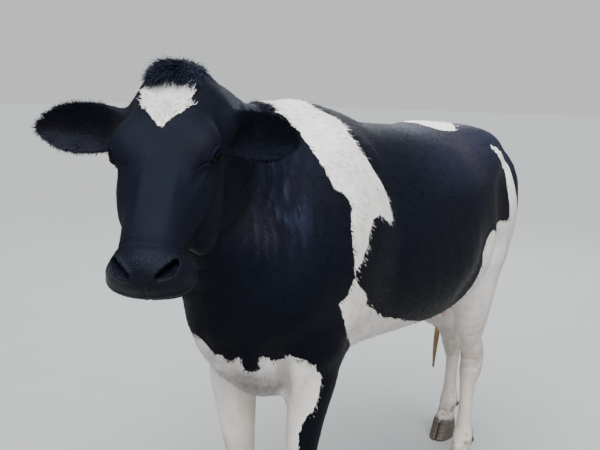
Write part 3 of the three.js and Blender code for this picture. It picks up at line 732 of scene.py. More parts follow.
print("ears:", EAR_REACH, "mm long and", EAR_WIDTH, "mm wide")


# %% The whole skin
def coat_depth(p):
    """How thick the coat lies on the skin, in millimetres."""
    depth = 4.0 + 3.5 * ramp(p[:, 2], 480, 800)
    h = to_head(p)
    away = distance(h, np.array([0, 240, -90]))
    face = ramp(h[:, 1], -60, 60) * (1 - ramp(away, 290, 430))
    depth = depth * (1 - face) + face * (3.6 - 2.6 * ramp(h[:, 1], 440, 480))
    udder = bell(p[:, 1] - 1080, 140) * bell(p[:, 0], 90) * (1 - ramp(p[:, 2], 800, 860))
    return depth * (1 - 0.8 * udder)


def skin_field(p):
    value = trunk_and_limbs(p)
    away = distance(p, POLL)
    near = away < 900
    if near.any():
        value[near] = join(value[near], head_field(p[near]), 60)
    value = value + coat_depth(p)
    near = np.flatnonzero(away < 560)
    for side in (1, -1):
        part = near[distance(p[near], EARS[side]["base"]) < 330]
        if len(part):
            value[part] = join(value[part], ear_field(p[part], side), 16)
    return -join(-value, p[:, 2] - (CORONET - 6), 8)


def slope_of(field, p, step=0.8):
    value = field(p)
    slope = np.empty_like(p)
    for axis in range(3):
        shifted = p.copy()
        shifted[:, axis] += step
        slope[:, axis] = (field(shifted) - value) / step
    return value, slope


print("field ready,", len(BODY_MASSES), "masses on the body and", len(HEAD_MASSES), "on the head")

# %% [markdown]
# ## Meshing the field
#
# A grid of points is laid through the field, and wherever the surface passes between
# them a vertex is set and moved onto it. A head needs finer squares than a rump, so the
# grid isn't even: it is drawn together around the head, as if seen through a lens. That
# gives one skin without a seam, with 6 mm squares on the face and up to 19 mm on the rump.

# %% The drawn-together grid
CELL = 19.0                    # grid step far from the head
FINE_RADIUS = 370.0            # everything this near is finely meshed
FINER = 3.05                   # how much finer
EASE = 320.0                   # over what length the grid opens out again


def drawn_in(reach):
    """The distance from the head at which an even grid's point is put."""
    inner = FINE_RADIUS * FINER
    past = np.clip(reach - inner, 0, EASE)
    eased = past / FINER + (1 - 1 / FINER) * past * past / (2 * EASE)
    return np.minimum(reach, inner) / FINER + eased + np.maximum(reach - inner - EASE, 0)


def to_body(even):
    offset = even - HEAD_CENTRE
    reach = np.maximum(np.linalg.norm(offset, axis=-1, keepdims=True), 1e-6)
    return HEAD_CENTRE + offset * (drawn_in(reach) / reach)


REACHES = np.linspace(0, 6000, 12001)


def to_even(body):
    offset = np.asarray(body, float) - HEAD_CENTRE
    reach = np.maximum(np.linalg.norm(offset, axis=-1, keepdims=True), 1e-6)
    return HEAD_CENTRE + offset * (np.interp(reach, drawn_in(REACHES), REACHES) / reach)


BODY_LOW = np.array([-400.0, -1000.0, 55.0])
BODY_HIGH = np.array([440.0, 1570.0, 1760.0])
corners = np.array(np.meshgrid(*np.linspace(BODY_LOW, BODY_HIGH, 9).T)).reshape(3, -1).T
even_low = to_even(corners).min(0) - 2 * CELL
BLOCK = 4                      # grid steps in a coarse block
blocks = np.ceil((to_even(corners).max(0) + 2 * CELL - even_low) / (CELL * BLOCK)).astype(int)
CORNERS = list(itertools.product((0, 1), repeat=3))     # of a cube
print("coarse blocks:", blocks.tolist())

# %% Values where the surface may be
def grid_points(index, step):
    return to_body(even_low + index * step)


coarse_index = np.stack(np.meshgrid(*[np.arange(n + 1) for n in blocks], indexing="ij"), -1)
coarse_flat = coarse_index.reshape(-1, 3)
coarse_at = grid_points(coarse_flat, CELL * BLOCK)
BOX_MARGIN, FAR_OUTSIDE = 120, 500.0
inside_box = np.all((coarse_at > BODY_LOW - BOX_MARGIN) & (coarse_at < BODY_HIGH + BOX_MARGIN), axis=1)
coarse = np.full(len(coarse_flat), FAR_OUTSIDE)
coarse[inside_box] = skin_field(coarse_at[inside_box])
coarse = coarse.reshape(blocks + 1)
reach = np.linalg.norm(coarse_index * CELL * BLOCK + even_low - HEAD_CENTRE, axis=-1)
local_step = CELL * BLOCK * np.clip(drawn_in(reach + 30) / (reach + 30) * 1.15, 1 / FINER, 1)
close = np.abs(coarse) < 1.35 * local_step
active = np.zeros(blocks, bool)
for i, j, k in CORNERS:
    active |= close[i:blocks[0] + i, j:blocks[1] + j, k:blocks[2] + k]
shape = blocks * BLOCK + 1
wanted = np.zeros(shape, bool)
for block in np.argwhere(active):
    wanted[tuple(slice(i * BLOCK, i * BLOCK + BLOCK + 1) for i in block)] = True
values = np.repeat(np.repeat(np.repeat(coarse, BLOCK, 0), BLOCK, 1), BLOCK, 2)
values = values[:shape[0], :shape[1], :shape[2]].astype(np.float32)
fine_index = np.argwhere(wanted)
BATCH = 120000
for start in range(0, len(fine_index), BATCH):
    part = fine_index[start:start + BATCH]
    values[tuple(part.T)] = skin_field(grid_points(part, CELL))
print(len(fine_index), "fine points,", clock())

# %% Vertices and faces
inside = values < 0
count = np.zeros(shape - 1, np.int8)
for i, j, k in CORNERS:
    count += inside[i:shape[0] - 1 + i, j:shape[1] - 1 + j, k:shape[2] - 1 + k]
cells = np.argwhere((count > 0) & (count < 8))
cell_number = np.full(shape - 1, -1, np.int32)
cell_number[tuple(cells.T)] = np.arange(len(cells))
total = np.zeros((len(cells), 3))
crossings = np.zeros(len(cells))
for axis, u, v in itertools.product(range(3), (0, 1), (0, 1)):
    a = np.zeros(3, int)
    a[(axis + 1) % 3], a[(axis + 2) % 3] = u, v
    b = a.copy()
    b[axis] = 1
    va = values[tuple((cells + a).T)].astype(float)
    vb = values[tuple((cells + b).T)].astype(float)
    cut = (va < 0) != (vb < 0)
    t = np.where(cut, va / np.where(va == vb, 1, va - vb), 0)
    total += cut[:, None] * (a + t[:, None] * (b - a))
    crossings += cut
skin_points = grid_points(cells + total / crossings[:, None], CELL)

quads = []
for axis in range(3):
    one, two = (axis + 1) % 3, (axis + 2) % 3
    changes = np.argwhere(np.diff(inside, axis=axis))
    went_out = inside[tuple(changes.T)]
    around = []
    for u, v in ((-1, -1), (0, -1), (0, 0), (-1, 0)):
        step = np.zeros(3, int)
        step[one], step[two] = u, v
        around.append(cell_number[tuple((changes + step).T)])
    around = np.stack(around, 1)
    around[~went_out] = around[~went_out][:, ::-1]
    quads.append(around)
quads = np.concatenate(quads)
assert quads.min() >= 0
skin_faces = np.concatenate([quads[:, [0, 1, 2]], quads[:, [0, 2, 3]]])
print(len(skin_points), "vertices,", len(skin_faces), "faces,", clock())


# %% Settling onto the surface
def settle(points, limit, rounds=2):
    for _ in range(rounds):
        value, slope = slope_of(skin_field, points)
        steep = np.maximum(np.linalg.norm(slope, axis=1), 0.3)
        move = np.clip(value / steep, -limit, limit)
        points = points - slope * (move / steep)[:, None]
    return points


def edge_ends(faces):
    """Both ends of the three edges of every face."""
    return np.concatenate([faces[:, [0, 1]], faces[:, [1, 2]], faces[:, [2, 0]]])


def relax(points, faces, strength, moving=1.0):
    """Draws each vertex towards the mean of its neighbours, which evens out the faces."""
    ends = edge_ends(faces)
    ends = np.concatenate([ends, ends[:, ::-1]])
    number = np.maximum(np.bincount(ends[:, 0], minlength=len(points)), 1)
    mean = np.stack([np.bincount(ends[:, 0], points[ends[:, 1], i], len(points)) for i in range(3)], 1)
    shift = (mean / number[:, None] - points) * strength
    return points + shift * np.reshape(moving, (-1, 1))


def local_cell(points):
    away = distance(points, HEAD_CENTRE)
    return CELL * np.clip(away / np.interp(away, drawn_in(REACHES), REACHES), 1 / FINER, 1)


step_limit = local_cell(skin_points) * 0.4
skin_points = settle(skin_points, step_limit)
skin_points = relax(skin_points, skin_faces, 0.5)
skin_points = settle(skin_points, step_limit)
print("settled,", clock())

# %% [markdown]
# Eyelids, nostrils, lips and the lower legs need smaller faces still. Each edge that lies
# there is halved, and a face is divided by two, three or four, so no gap opens between
# fine and coarse.

# %% Finer faces where they count
def refine(points, faces, chosen, limit):
    """Halves the edges whose middles are chosen, and settles the new vertices."""
    keys, back_to = np.unique(np.sort(edge_ends(faces), axis=1), axis=0, return_inverse=True)
    back_to = back_to.reshape(3, -1).T
    middles = points[keys].mean(1)
    split = chosen(middles)
    number = np.where(split, len(points) + np.cumsum(split) - 1, -1)
    added = settle(middles[split], limit)
    mid = number[back_to]
    marks = mid >= 0
    amount = marks.sum(1)
    out = [faces[amount == 0]]
    whole = amount == 3
    a, b, c = faces[whole].T
    ab, bc, ca = mid[whole].T
    out += [np.stack(t, 1) for t in ((a, ab, ca), (ab, b, bc), (ca, bc, c), (ab, bc, ca))]
    for turn in range(3):
        rolled = np.roll(faces, -turn, axis=1)
        rolled_mid = np.roll(mid, -turn, axis=1)
        one = (amount == 1) & (rolled_mid[:, 0] >= 0)
        a, b, c = rolled[one].T
        ab = rolled_mid[one, 0]
        out += [np.stack((a, ab, c), 1), np.stack((ab, b, c), 1)]
        two = (amount == 2) & (rolled_mid[:, 2] < 0)
        a, b, c = rolled[two].T
        ab, bc, _ = rolled_mid[two].T
        out += [np.stack((ab, b, bc), 1), np.stack((a, ab, bc), 1), np.stack((a, bc, c), 1)]
    return np.concatenate([points, added]), np.concatenate(out)


def near_eyes(p, reach):
    return distance(folded(to_head(p)), EYE_PLACE) < reach


def ear_rims(p):
    found = np.zeros(len(p), bool)
    for _, near, along, across, thick, at, half in each_ear(p):
        found[near] |= (along > 40) & ((np.abs(across) > half - 14) | (at > 0.88)) & (np.abs(thick) < 16)
    return found


def near_muzzle(p, start):
    h = to_head(p)
    lips = (np.abs(h[:, 2] - MOUTH_HEIGHT + 0.1 * (500 - h[:, 1])) < 14) & (h[:, 1] > start - 50)
    return ((h[:, 1] > start) | lips) & (distance(p, HEAD_CENTRE) < 400)


def near_nostrils(p):
    h = to_head(p)
    return (h[:, 1] > 430) & (nostril_gap(h) < 9)


def low_limbs(p):
    x, y, z = p.T
    return (z < 300) | ((y > 1370) & (np.abs(x) < 280) & (z < 1330))


for chosen, limit in (
    (lambda p: low_limbs(p) | near_eyes(p, 56) | near_muzzle(p, 450) | ear_rims(p), 3.0),
    (lambda p: near_eyes(p, 36) | near_nostrils(p), 1.2),
):
    skin_points, skin_faces = refine(skin_points, skin_faces, chosen, limit)
    fine = chosen(skin_points).astype(float)
    skin_points = relax(skin_points, skin_faces, 0.4, fine)
    moving = fine > 0
    skin_points[moving] = settle(skin_points[moving], limit)
print(len(skin_points), "vertices,", len(skin_faces), "faces,", clock())

# %% [markdown]
# ## The skin as a piece
#
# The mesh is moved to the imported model's place and takes the place of every node of
# flesh. Its faces are shaded smooth. The solids reach to the tips of the coat, so the
# skin lies inside them by the coat's depth.

# %% Skin object
SIDES = {"left": 1, "right": -1}
FLESH = ["head", "jaw", "neck", "trunk", "udder", "ear_left", "ear_right", "tail"]
for end in ("foreleg", "hindleg"):
    for side in SIDES:
        FLESH += [f"{end}_{side}_upper", f"{end}_{side}_lower"]
MILLIMETRE = 0.001
SHIFT = np.array([0, FORWARD_SHIFT, 0])


def place(points):
    """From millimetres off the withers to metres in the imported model."""
    return np.asarray(points, float) * MILLIMETRE + SHIFT


def mesh_object(name, points, faces):
    mesh = bpy.data.meshes.new(name)
    mesh.vertices.add(len(points))
    mesh.vertices.foreach_set("co", np.asarray(points, np.float32).ravel())
    mesh.loops.add(faces.size)
    mesh.loops.foreach_set("vertex_index", faces.astype(np.int32).ravel())
    mesh.polygons.add(len(faces))
    size = faces.shape[1]
    mesh.polygons.foreach_set("loop_start", np.arange(0, faces.size, size, dtype=np.int32))
    mesh.update(calc_edges=True)
    mesh.validate()
    mesh.shade_smooth()
    made = bpy.data.objects.new(name, mesh)
    bpy.context.scene.collection.objects.link(made)
    return made


def store(piece, name, values, kind="FLOAT"):
    attribute = piece.data.attributes.new(name, kind, "POINT")
    field = "value" if kind == "FLOAT" else "vector"
    attribute.data.foreach_set(field, np.asarray(values, np.float32).ravel())


skin = mesh_object("skin", place(skin_points), skin_faces)
euler = len(skin.data.vertices) - len(skin.data.edges) + len(skin.data.polygons)
print("skin:", len(skin.data.polygons), "faces, Euler number", euler)

# %% [markdown]
# ## Black and white
#
# Each cow has her own map of black and white. The border is drawn here as outlines on a
# chart of the body: how far back from the withers, and how far round from the spine. The
# signed distance to the border goes on the skin and on each lock of hair, so both carry
# the same marks. Wavy and spiky edges come from noise that is drawn out along the hair.

# %% The chart of the body and the outlines
BARREL_CENTRE = 1150.0        # height of the barrel's middle
CHART_RADIUS = 330.0          # millimetres of girth for each radian


def chart(p):
    girth = CHART_RADIUS * np.arctan2(p[:, 0], p[:, 2] - BARREL_CENTRE)
    return np.stack([p[:, 1], girth], 1)


def outline_distance(q, outline):
    """Signed distance from points to a closed outline, positive inside."""
    corners = np.asarray(outline, float)
    following = np.roll(corners, -1, axis=0)
    nearest = np.full(len(q), np.inf)
    crossings = np.zeros(len(q), int)
    for a, b in zip(corners, following):
        run = b - a
        nearest = np.minimum(nearest, off_line(q, a, b)[1])
        spans = (a[1] > q[:, 1]) != (b[1] > q[:, 1])
        height = np.where(run[1] == 0, 1, run[1])
        crossings += spans & (q[:, 0] < a[0] + (q[:, 1] - a[1]) / height * run[0])
    return np.where(crossings % 2 == 1, nearest, -nearest)


SHOULDER_BAND = [      # white, over the withers and down behind the left shoulder
    (10, -150), (20, 14), (10, 63), (48, 93), (59, 119), (24, 167), (25, 209), (56, 259), (90, 300),
    (112, 339), (135, 414), (109, 419), (44, 388), (12, 401), (-7, 431), (-15, 476), (-42, 543),
    (-47, 576), (-53, 576), (-56, 527), (-66, 475), (-75, 410), (-63, 361), (-66, 325), (-82, 301),
    (-101, 285), (-106, 258), (-117, 198), (-116, 148), (-121, 111), (-145, 61), (-172, 26),
    (-190, -40), (-168, -150), (-120, -230), (-110, -330), (-66, -420), (-80, -500), (-30, -560),
    (20, -545), (6, -480), (60, -420), (100, -440), (84, -330), (40, -240),
]
BELLY = [              # white, behind the elbow and along the underside, round to her right
    (-46, 578), (-23, 607), (5, 638), (29, 687), (80, 714), (146, 749), (246, 774), (346, 800),
    (450, 838), (560, 860), (680, 850), (760, 800), (860, 700), (900, 620), (940, 560), (1400, 560),
    (1400, 1040), (60, 1040), (42, 832), (-18, 777), (-70, 710), (-98, 660), (-60, 640),
]
BELLY_RIGHT = [
    (-80, -1040), (-90, -800), (-30, -730), (60, -700), (110, -760), (260, -800), (400, -770),
    (470, -700), (520, -720), (610, -840), (760, -830), (830, -740), (900, -600), (1400, -560),
    (1400, -1040),
]
CROUP = [
    (740, -30), (705, 56), (716, 92), (732, 119), (797, 143), (882, 75), (860, 10), (804, -60), (750, -70),
]
THIGH_STREAK = [
    (878, 243), (902, 250), (975, 279), (1084, 307), (1116, 355), (1136, 422), (1152, 471),
    (1168, 524), (1172, 640), (1016, 640), (1064, 551), (1052, 471), (1040, 394), (1028, 330), (943, 293),
]
HIND_WHITE = [         # the left thigh and everything behind and below it: millimetres back, then up
    (560, 600), (640, 800), (716, 862), (744, 925), (750, 1000), (747, 1058), (764, 1094), (800, 1117),
    (862, 1110), (915, 1127), (962, 1119), (1012, 1128), (1058, 1116), (1110, 1132), (1180, 1150),
    (1300, 1190), (1700, 1200), (1700, -100), (560, -100),
]
HIND_WHITE_RIGHT = [
    (600, 600), (700, 790), (780, 872), (850, 908), (886, 960), (905, 1022), (950, 1048), (1010, 1018),
    (1066, 984), (1130, 998), (1190, 1062), (1246, 1120), (1330, 1176), (1700, 1200), (1700, -100),
    (600, -100),
]
THIGH_RIGHT = [
    (1060, -640), (1090, -560), (1075, -440), (1120, -380), (1170, -430), (1150, -560), (1190, -640),
]
STAR = [               # on the forehead, in the head's own millimetres across and down
    (-61, 58), (-52, 43), (-27, 38), (4, 38), (28, 40), (45, 50), (48, 68), (45, 84), (48, 104),
    (42, 117), (28, 134), (10, 152), (-2, 169), (-9, 165), (-27, 148), (-43, 131), (-55, 116), (-62, 88),
]
CHEST_EDGE = [         # the lower border of the black in front: millimetres across, then height
    (-330, 800), (-210, 845), (-160, 900), (-120, 870), (-60, 960), (-18, 956), (-4, 930), (13, 912),
    (40, 914), (46, 893), (62, 893), (76, 912), (76, 885), (80, 852), (88, 850), (96, 876), (112, 903),
    (118, 880), (130, 872), (141, 890), (153, 905), (168, 888), (188, 886), (203, 870), (206, 831),
    (211, 791), (206, 765), (188, 724), (166, 698), (152, 663), (144, 641), (142, 598), (141, 500),
    (146, 380), (140, 300), (138, 215), (330, 180), (330, 0), (-330, 0),
]
print("corners of the shoulder's band:", len(SHOULDER_BAND), "and of the star:", len(STAR))

# %% Noise for ragged borders
def lattice_noise(p, seed):
    """Smooth noise from -1 to 1 on a lattice one unit wide."""
    base = np.floor(p).astype(np.int64)
    t = p - base
    t = t * t * (3 - 2 * t)
    total = np.zeros(len(p))
    for offset in CORNERS:
        corner = base + offset
        mixed = corner[:, 0] * 73856093 ^ corner[:, 1] * 19349663 ^ corner[:, 2] * 83492791
        mixed = (mixed + seed * 2654435761) & 0xFFFFFFFF
        mixed = (mixed ^ (mixed >> 13)) * 1274126177 & 0xFFFFFFFF
        mixed = mixed ^ (mixed >> 16)
        weight = np.ones(len(p))
        for axis, at in enumerate(offset):
            weight = weight * (t[:, axis] if at else 1 - t[:, axis])
        total += weight * ((mixed & 0xFFFFFF) / 0x7FFFFF - 1)
    return total


def ragged(p, size, seed):
    """Noise of the given size in millimetres, with finer noise on it."""
    return 0.65 * lattice_noise(p / size, seed) + 0.35 * lattice_noise(p / (0.42 * size), seed + 7)


print("noise at the withers:", round(float(ragged(np.zeros((1, 3)), 26, 3)[0]), 3))


# %% Signed distance to the white
BLACK = -99                   # far from any white
BACK_OF_LEFT_LEG = 60         # millimetres from the middle, past which that leg is black behind


def on_tail(p, above=400):
    return (p[:, 1] > 1362) & (np.abs(p[:, 0]) < 300) & (p[:, 2] > above)


def body_white(p):
    """The white of trunk and hind legs, drawn on the chart and on the side view."""
    x, y, z = p.T
    q = chart(p)
    white = outline_distance(q, SHOULDER_BAND)
    for outline in (BELLY, BELLY_RIGHT, CROUP, THIGH_STREAK, THIGH_RIGHT):
        white = np.maximum(white, outline_distance(q, outline))
    left = np.where(x > 0, outline_distance(p[:, 1:], HIND_WHITE), BLACK)
    right = np.where(x > 0, BLACK, outline_distance(p[:, 1:], HIND_WHITE_RIGHT))
    white = np.maximum(white, np.maximum(left, right) + 11 * ragged(p, 85, 41))
    buttock = np.minimum(y - 1205, 42 - np.abs(x)) - 6 * ramp(z, 1250, 1300)
    udder = np.where(y > 300, np.minimum(230 - np.abs(x), 800 - z), BLACK)
    return np.maximum(np.maximum(white, buttock), udder)


def chest_white(p, white):
    """The white so far, with that of the chest and the forelegs added."""
    x, y, z = p.T
    chest = outline_distance(p[:, [0, 2]], CHEST_EDGE)
    hidden = ramp(y - 0.1 * (z - 700), -118, -104) * (x > BACK_OF_LEFT_LEG)
    chest = np.where(hidden > 0, np.minimum(chest, 60 - hidden * 60 - 8 + (150 - x)), chest)
    below = np.maximum(np.minimum(chest, 1000 - z), np.where(z < 760, BLACK, white))
    white = np.where((y < 60) & (z < 985), below, white)
    inner = np.where(y < 70, 100, 190)
    under = (z < 880) & (y > -60) & (y < 300) & (np.abs(x) < inner) & (z > 740)
    return np.where(under, np.maximum(white, 25), white)


def whiteness(p):
    """Millimetres inside the white, negative in the black."""
    y, z = p[:, 1], p[:, 2]
    calm = 1 - 0.75 * ramp(y, 840, 900) * ramp(z, 1140, 1180)
    wobble = 7 * ragged(p * np.array([1, 1, 0.45]), 26, 3) * calm
    white = chest_white(p, body_white(p)) + wobble
    white = np.where(on_tail(p, 500), 640 - z + 18 * ragged(p, 20, 5), white)
    h = to_head(p)
    near_head = distance(p, HEAD_CENTRE) < HEAD_REACH
    on_head = near_head & (h[:, 2] > -90) & (h[:, 1] < 300)
    star = outline_distance(h[:, :2], STAR) + 3.5 * ragged(h * np.array([1, 0.5, 1]), 13, 11)
    white = np.where(on_head, np.where(h[:, 2] > -60, star, -60), white)
    return np.where(near_head & ~on_head, -60, white)


skin_white = whiteness(skin_points)
print("white part of the skin's vertices:", round(float((skin_white > 0).mean()), 2))

# %% Other masks of the skin
def bare_muzzle(p):
    """1 on the wet, hairless nose pad between and round the nostrils."""
    h = to_head(p)
    top = 464 + 0.0012 * h[:, 0] ** 2 + 16 * ramp(np.abs(h[:, 0]), 60, 80)
    pad = ramp(h[:, 1] + 3 * ragged(h, 10, 21), top - 5, top + 5)
    lip = ramp(h[:, 2], -112, -98)
    return pad * lip * (distance(p, HEAD_CENTRE) < HEAD_REACH)


def bare_udder(p):
    """1 on the udder, whose skin shows."""
    x, y, z = p.T
    return (1 - ramp(z, 770, 840)) * bell(y - 1080, 170) ** 0.5 * (np.abs(x) < 72) * (z > 640)


def lid_margin(p):
    """1 on the bare rims of the eyelids and inside the socket."""
    along, high, out, away = eye_axes(to_head(p))
    return (1 - ramp(lid_gap(along, high), 0.2, 2.6)) * (away < 34) * (out > -5)


def ear_inside(p):
    """1 on the hollow side of either ear."""
    total = np.zeros(len(p))
    for _, near, along, across, thick, at, half in each_ear(p):
        part = ramp(thick, 0, 4) * ramp(along, 18, 50) * (1 - ramp(np.abs(across), half * 0.75, half))
        total[near] = np.maximum(total[near], part * (along > 5))
    return total


def on_ears(p, from_root=14, off_sheet=30):
    found = np.zeros(len(p), bool)
    for _, near, along, across, thick, at, half in each_ear(p):
        found[near] |= (along > from_root) & (np.abs(thick) < off_sheet) & (np.abs(across) < half + 14)
    return found


def fade_sheen_and_shade(p):
    """How much paler the dark hair is than black, partly dust and faded hair and partly painted highlights
    and painted sheen; below 0, how much darker the white is, partly stain and partly painted shade.
    """
    x, y, z = p.T
    neck = ramp(-y, 120, 230) * ramp(z, 1150, 1290) * ramp(np.abs(x), 50, 105)
    # painted highlights: pale streaks hanging down the neck stand in for the gloss on clumps of hair
    hanging = p * np.array([1, 1, 0.035])
    streak = 0.6 * lattice_noise(hanging / 11, 19) + 0.4 * lattice_noise(hanging / 5, 20)
    # painted sheen: the top of the back is paler where light from above catches it, with dust in blotches
    back = ramp(z, 1230, 1400) * ramp(y, 250, 850)
    dust_and_sheen = 0.5 + 0.5 * ragged(p * np.array([1, 0.6, 1]), 130, 23)
    # painted shade: the white under the brisket and along its creases is darker, with some stain
    brisket = bell(z - 790, 80) * bell(x - 45, 75) * ramp(-y, 90, 150)
    fading_and_sheen = neck * (0.7 + 5.5 * np.maximum(streak + 0.05, 0)) + back * (1.2 + 3.2 * dust_and_sheen)
    creases = sum(groove(p, path, 0.8 * CREASE_WIDE) for path, _ in BRISKET_CREASES[1:])
    fading_and_sheen = fading_and_sheen * ramp(distance(p, HEAD_CENTRE), 240, 290) * ~on_ears(p)
    return fading_and_sheen - 2.2 * brisket - 1.8 * creases


store(skin, "white", skin_white)
# the skin's shade carries painted highlights, painted sheen and painted shade, as well as fading and stain
store(skin, "shade", 0.4 + fade_sheen_and_shade(skin_points))
for name, mask in (("muzzle", bare_muzzle), ("udder", bare_udder), ("rim", lid_margin), ("ear", ear_inside)):
    store(skin, name, mask(skin_points))
print("masks stored,", clock())

# %% [markdown]
# ## Where the hair grows and which way it lies
#
# Hair lies along the body like shingles. It runs back along the spine, slants down over
# the ribs, falls down the neck and the legs, and spreads from a whorl between the eyes.
# Roots are strewn over the skin with a fixed seed, and each gets its way, its size, its
# colour and a place of its own on a chart of the skin.

# %% The way the hair lies
WHORL = 224.0                 # the whorl's distance down the face


def blend(base, other, amount):
    """From one way of lying to another, by an amount for each point."""
    return base + (np.asarray(other, float) - base) * amount[:, None]


def body_way(p, n):
    """Back along the spine, down the ribs, the neck and the legs."""
    x, y, z = p.T
    flank = np.abs(n[:, 0])
    way = np.stack([0 * x, 1 - 0.25 * flank, -0.75 * flank ** 1.5], 1)
    way = blend(way, [0, 0.45, -0.9], ramp(y, 980, 1180) * ramp(flank + np.abs(n[:, 1]), 0.3, 0.8))
    neck = ramp(-y, 40, 230)
    way = blend(way, [0, 0.30, -0.95], neck * ramp(flank, 0.25, 0.7))
    chest = neck * ramp(-n[:, 1], 0.3, 0.75)
    inward = np.stack([-0.35 * np.sign(x), 0 * x, -np.ones_like(x)], 1)
    way = blend(way, inward, chest * (1 - ramp(z, 1150, 1300)))
    way = blend(way, [0, 0.12, -1], 1 - ramp(z, 640, 820))
    way[on_tail(p)] = [-0.25, 0.1, -1]
    return way


def face_way(h):
    """Away from the whorl, and down and back over the cheeks."""
    x, y, z = h.T
    from_whorl = y - WHORL
    swirl = bell(from_whorl, 30) * bell(x, 30)
    way = np.stack([0.012 * x + 0.9 * swirl * np.sign(from_whorl), np.tanh(from_whorl / 26), 0 * x], 1)
    return blend(way, [0, -0.55, -0.85], ramp(-z, 70, 130) * (1 - ramp(y, 380, 440)))


def lie_of(p, n):
    """The way the hair lies at each point, in the skin's plane."""
    h = to_head(p)
    on_head = (1 - ramp(distance(p, HEAD_CENTRE), 300, 370)) * ramp(h[:, 1], -40, 30)
    way = blend(body_way(p, n), face_way(h) @ HEAD_AXES, on_head)
    for ear, near, along, across, thick, at, half in each_ear(p):
        on_ear = ramp(along, 4, 40) * (np.abs(thick) < 40) * (np.abs(across) < half + 30)
        fan = ear["out"] + ear["across"] * (0.75 * across / half)[:, None]
        way[near] = blend(way[near], fan, on_ear)
    way = way - n * np.sum(way * n, axis=1, keepdims=True)
    return unit(way + 1e-6 * np.cross(n, [0.3, 0.5, 0.8]))


on_the_back = np.array([[0.0, 500.0, 1500.0]])
print("hair on the back lies towards", lie_of(on_the_back, UP[None]).round(2).tolist())

# %% Root points
corners = skin_points[skin_faces]
face_cross = np.cross(corners[:, 1] - corners[:, 0], corners[:, 2] - corners[:, 0])
face_area = np.linalg.norm(face_cross, axis=1) / 2
face_normal = unit(face_cross)
skin_normal = np.zeros_like(skin_points)
for i in range(3):
    for axis in range(3):
        skin_normal[:, axis] += np.bincount(skin_faces[:, i], face_cross[:, axis], len(skin_points))
skin_normal = unit(skin_normal)
face_centre = corners.mean(1)


def zones(p):
    """Which part of the coat each point belongs to."""
    h = to_head(p)
    ear = on_ears(p, 22, 24)
    head = (distance(p, HEAD_CENTRE) < 400) & (h[:, 1] > 6 + 0.5 * np.maximum(-60 - h[:, 2], 0)) & ~ear
    tail = on_tail(p)
    low = (p[:, 2] < 560) & ~tail & ~head
    neck = (p[:, 1] < -150) & (p[:, 2] > 880) & ~head & ~ear
    names = np.full(len(p), "trunk", dtype=object)
    for name, mask in (("neck", neck), ("legs", low), ("tail", tail), ("head", head), ("ears", ear)):
        names[mask] = name
    return names


face_zone = zones(face_centre)
square_metres = {z: round(float(face_area[face_zone == z].sum()) / 1e6, 2) for z in set(face_zone)}
print("square metres of coat:", square_metres)


def roots(mask, amount, seed, weight=None):
    """Points strewn evenly on the faces in the mask, with the skin's normals there."""
    draw = np.random.default_rng(seed)
    chosen = np.flatnonzero(mask)
    share = face_area[chosen] * (1 if weight is None else weight[chosen])
    edges = np.cumsum(share) / share.sum()
    steps = (np.arange(amount) + draw.random(amount)) / amount
    at = chosen[np.minimum(np.searchsorted(edges, steps), len(chosen) - 1)]
    u, v = draw.random(amount), draw.random(amount)
    over = u + v > 1
    u, v = np.where(over, 1 - u, u), np.where(over, 1 - v, v)
    weights = np.stack([1 - u - v, u, v], 1)
    points = np.einsum("ij,ijk->ik", weights, skin_points[skin_faces[at]])
    normals = unit(np.einsum("ij,ijk->ik", weights, skin_normal[skin_faces[at]]))
    return points, normals, draw


# %% A place on the map for every lock
MAP_MARGIN, MAP_PATCH = 0.2, 0.7      # of the room that each lock has on the map


def map_places(u, v):
    """Spreads locks over the map in the order in which they stand on the skin's chart."""
    amount = len(u)
    columns = int(math.ceil(math.sqrt(amount)))
    order = np.argsort(u, kind="stable")
    places = np.zeros((amount, 3))
    for column in range(columns):
        part = order[column * columns:(column + 1) * columns]
        part = part[np.argsort(v[part], kind="stable")]
        places[part, 0] = (column + MAP_MARGIN) / columns
        places[part, 1] = (np.arange(len(part)) + MAP_MARGIN) / columns
    return places, MAP_PATCH / columns


print("a lock among 30000 gets", round(map_places(*np.zeros((2, 30000)))[1], 4), "of the map's side")

# %% [markdown]
# ## Locks of hair
#
# Single hairs are far too many, but short hair clings together in small pointed locks,
# and these are what one sees. A lock is a tapering spike with three sides. Long or curly
# hair gets more rings, so that it can bend. One Geometry Nodes tree sets a lock on every
# root, turns it along the hair's way and makes it real geometry.

# %% Lock shapes
SECTION = ((-0.5, 0, 0, 0), (0.5, 0, 1, 0), (0, 0.55, 0.5, -0.04))    # across, up, and the place on the map


def turn_outwards(mesh):
    """Makes the faces of closed shells point outwards."""
    work = bmesh.new()
    work.from_mesh(mesh)
    bmesh.ops.recalc_face_normals(work, faces=work.faces)
    work.to_mesh(mesh)
    work.free()


def spike_faces(rings, first=0):
    """The faces of a three-sided spike with the given number of rings and a tip."""
    faces = [(first, first + 1, first + 2)]
    for r in range(rings - 1):
        a, b = first + 3 * r, first + 3 * r + 3
        for i in range(3):
            j = (i + 1) % 3
            faces += [(a + i, b + i, a + j), (a + j, b + i, b + j)]
    last = first + 3 * (rings - 1)
    return faces + [(last + i, last + 3, last + (i + 1) % 3) for i in range(3)]


def lock_object(name, rings):
    """A spike through rings of [along, sideways, lift, width], closed at both ends."""
    points, local = [], []
    for along, sideways, lift, width in rings[:-1]:
        for dx, dy, u, slip in SECTION:
            points.append((sideways + dx * width, lift + dy * width, along))
            local.append((u, 0.04 + 0.92 * along + slip, 0))
    along, sideways, lift, _ = rings[-1]
    points.append((sideways, lift, along))
    local.append((0.5, 1, 0))
    mesh = bpy.data.meshes.new(name)
    mesh.from_pydata(points, [], spike_faces(len(rings) - 1))
    turn_outwards(mesh)
    mesh.shade_smooth()
    made = bpy.data.objects.new(name, mesh)
    store(made, "local", local, "FLOAT_VECTOR")
    store(made, "tip", [point[2] for point in points])
    return made


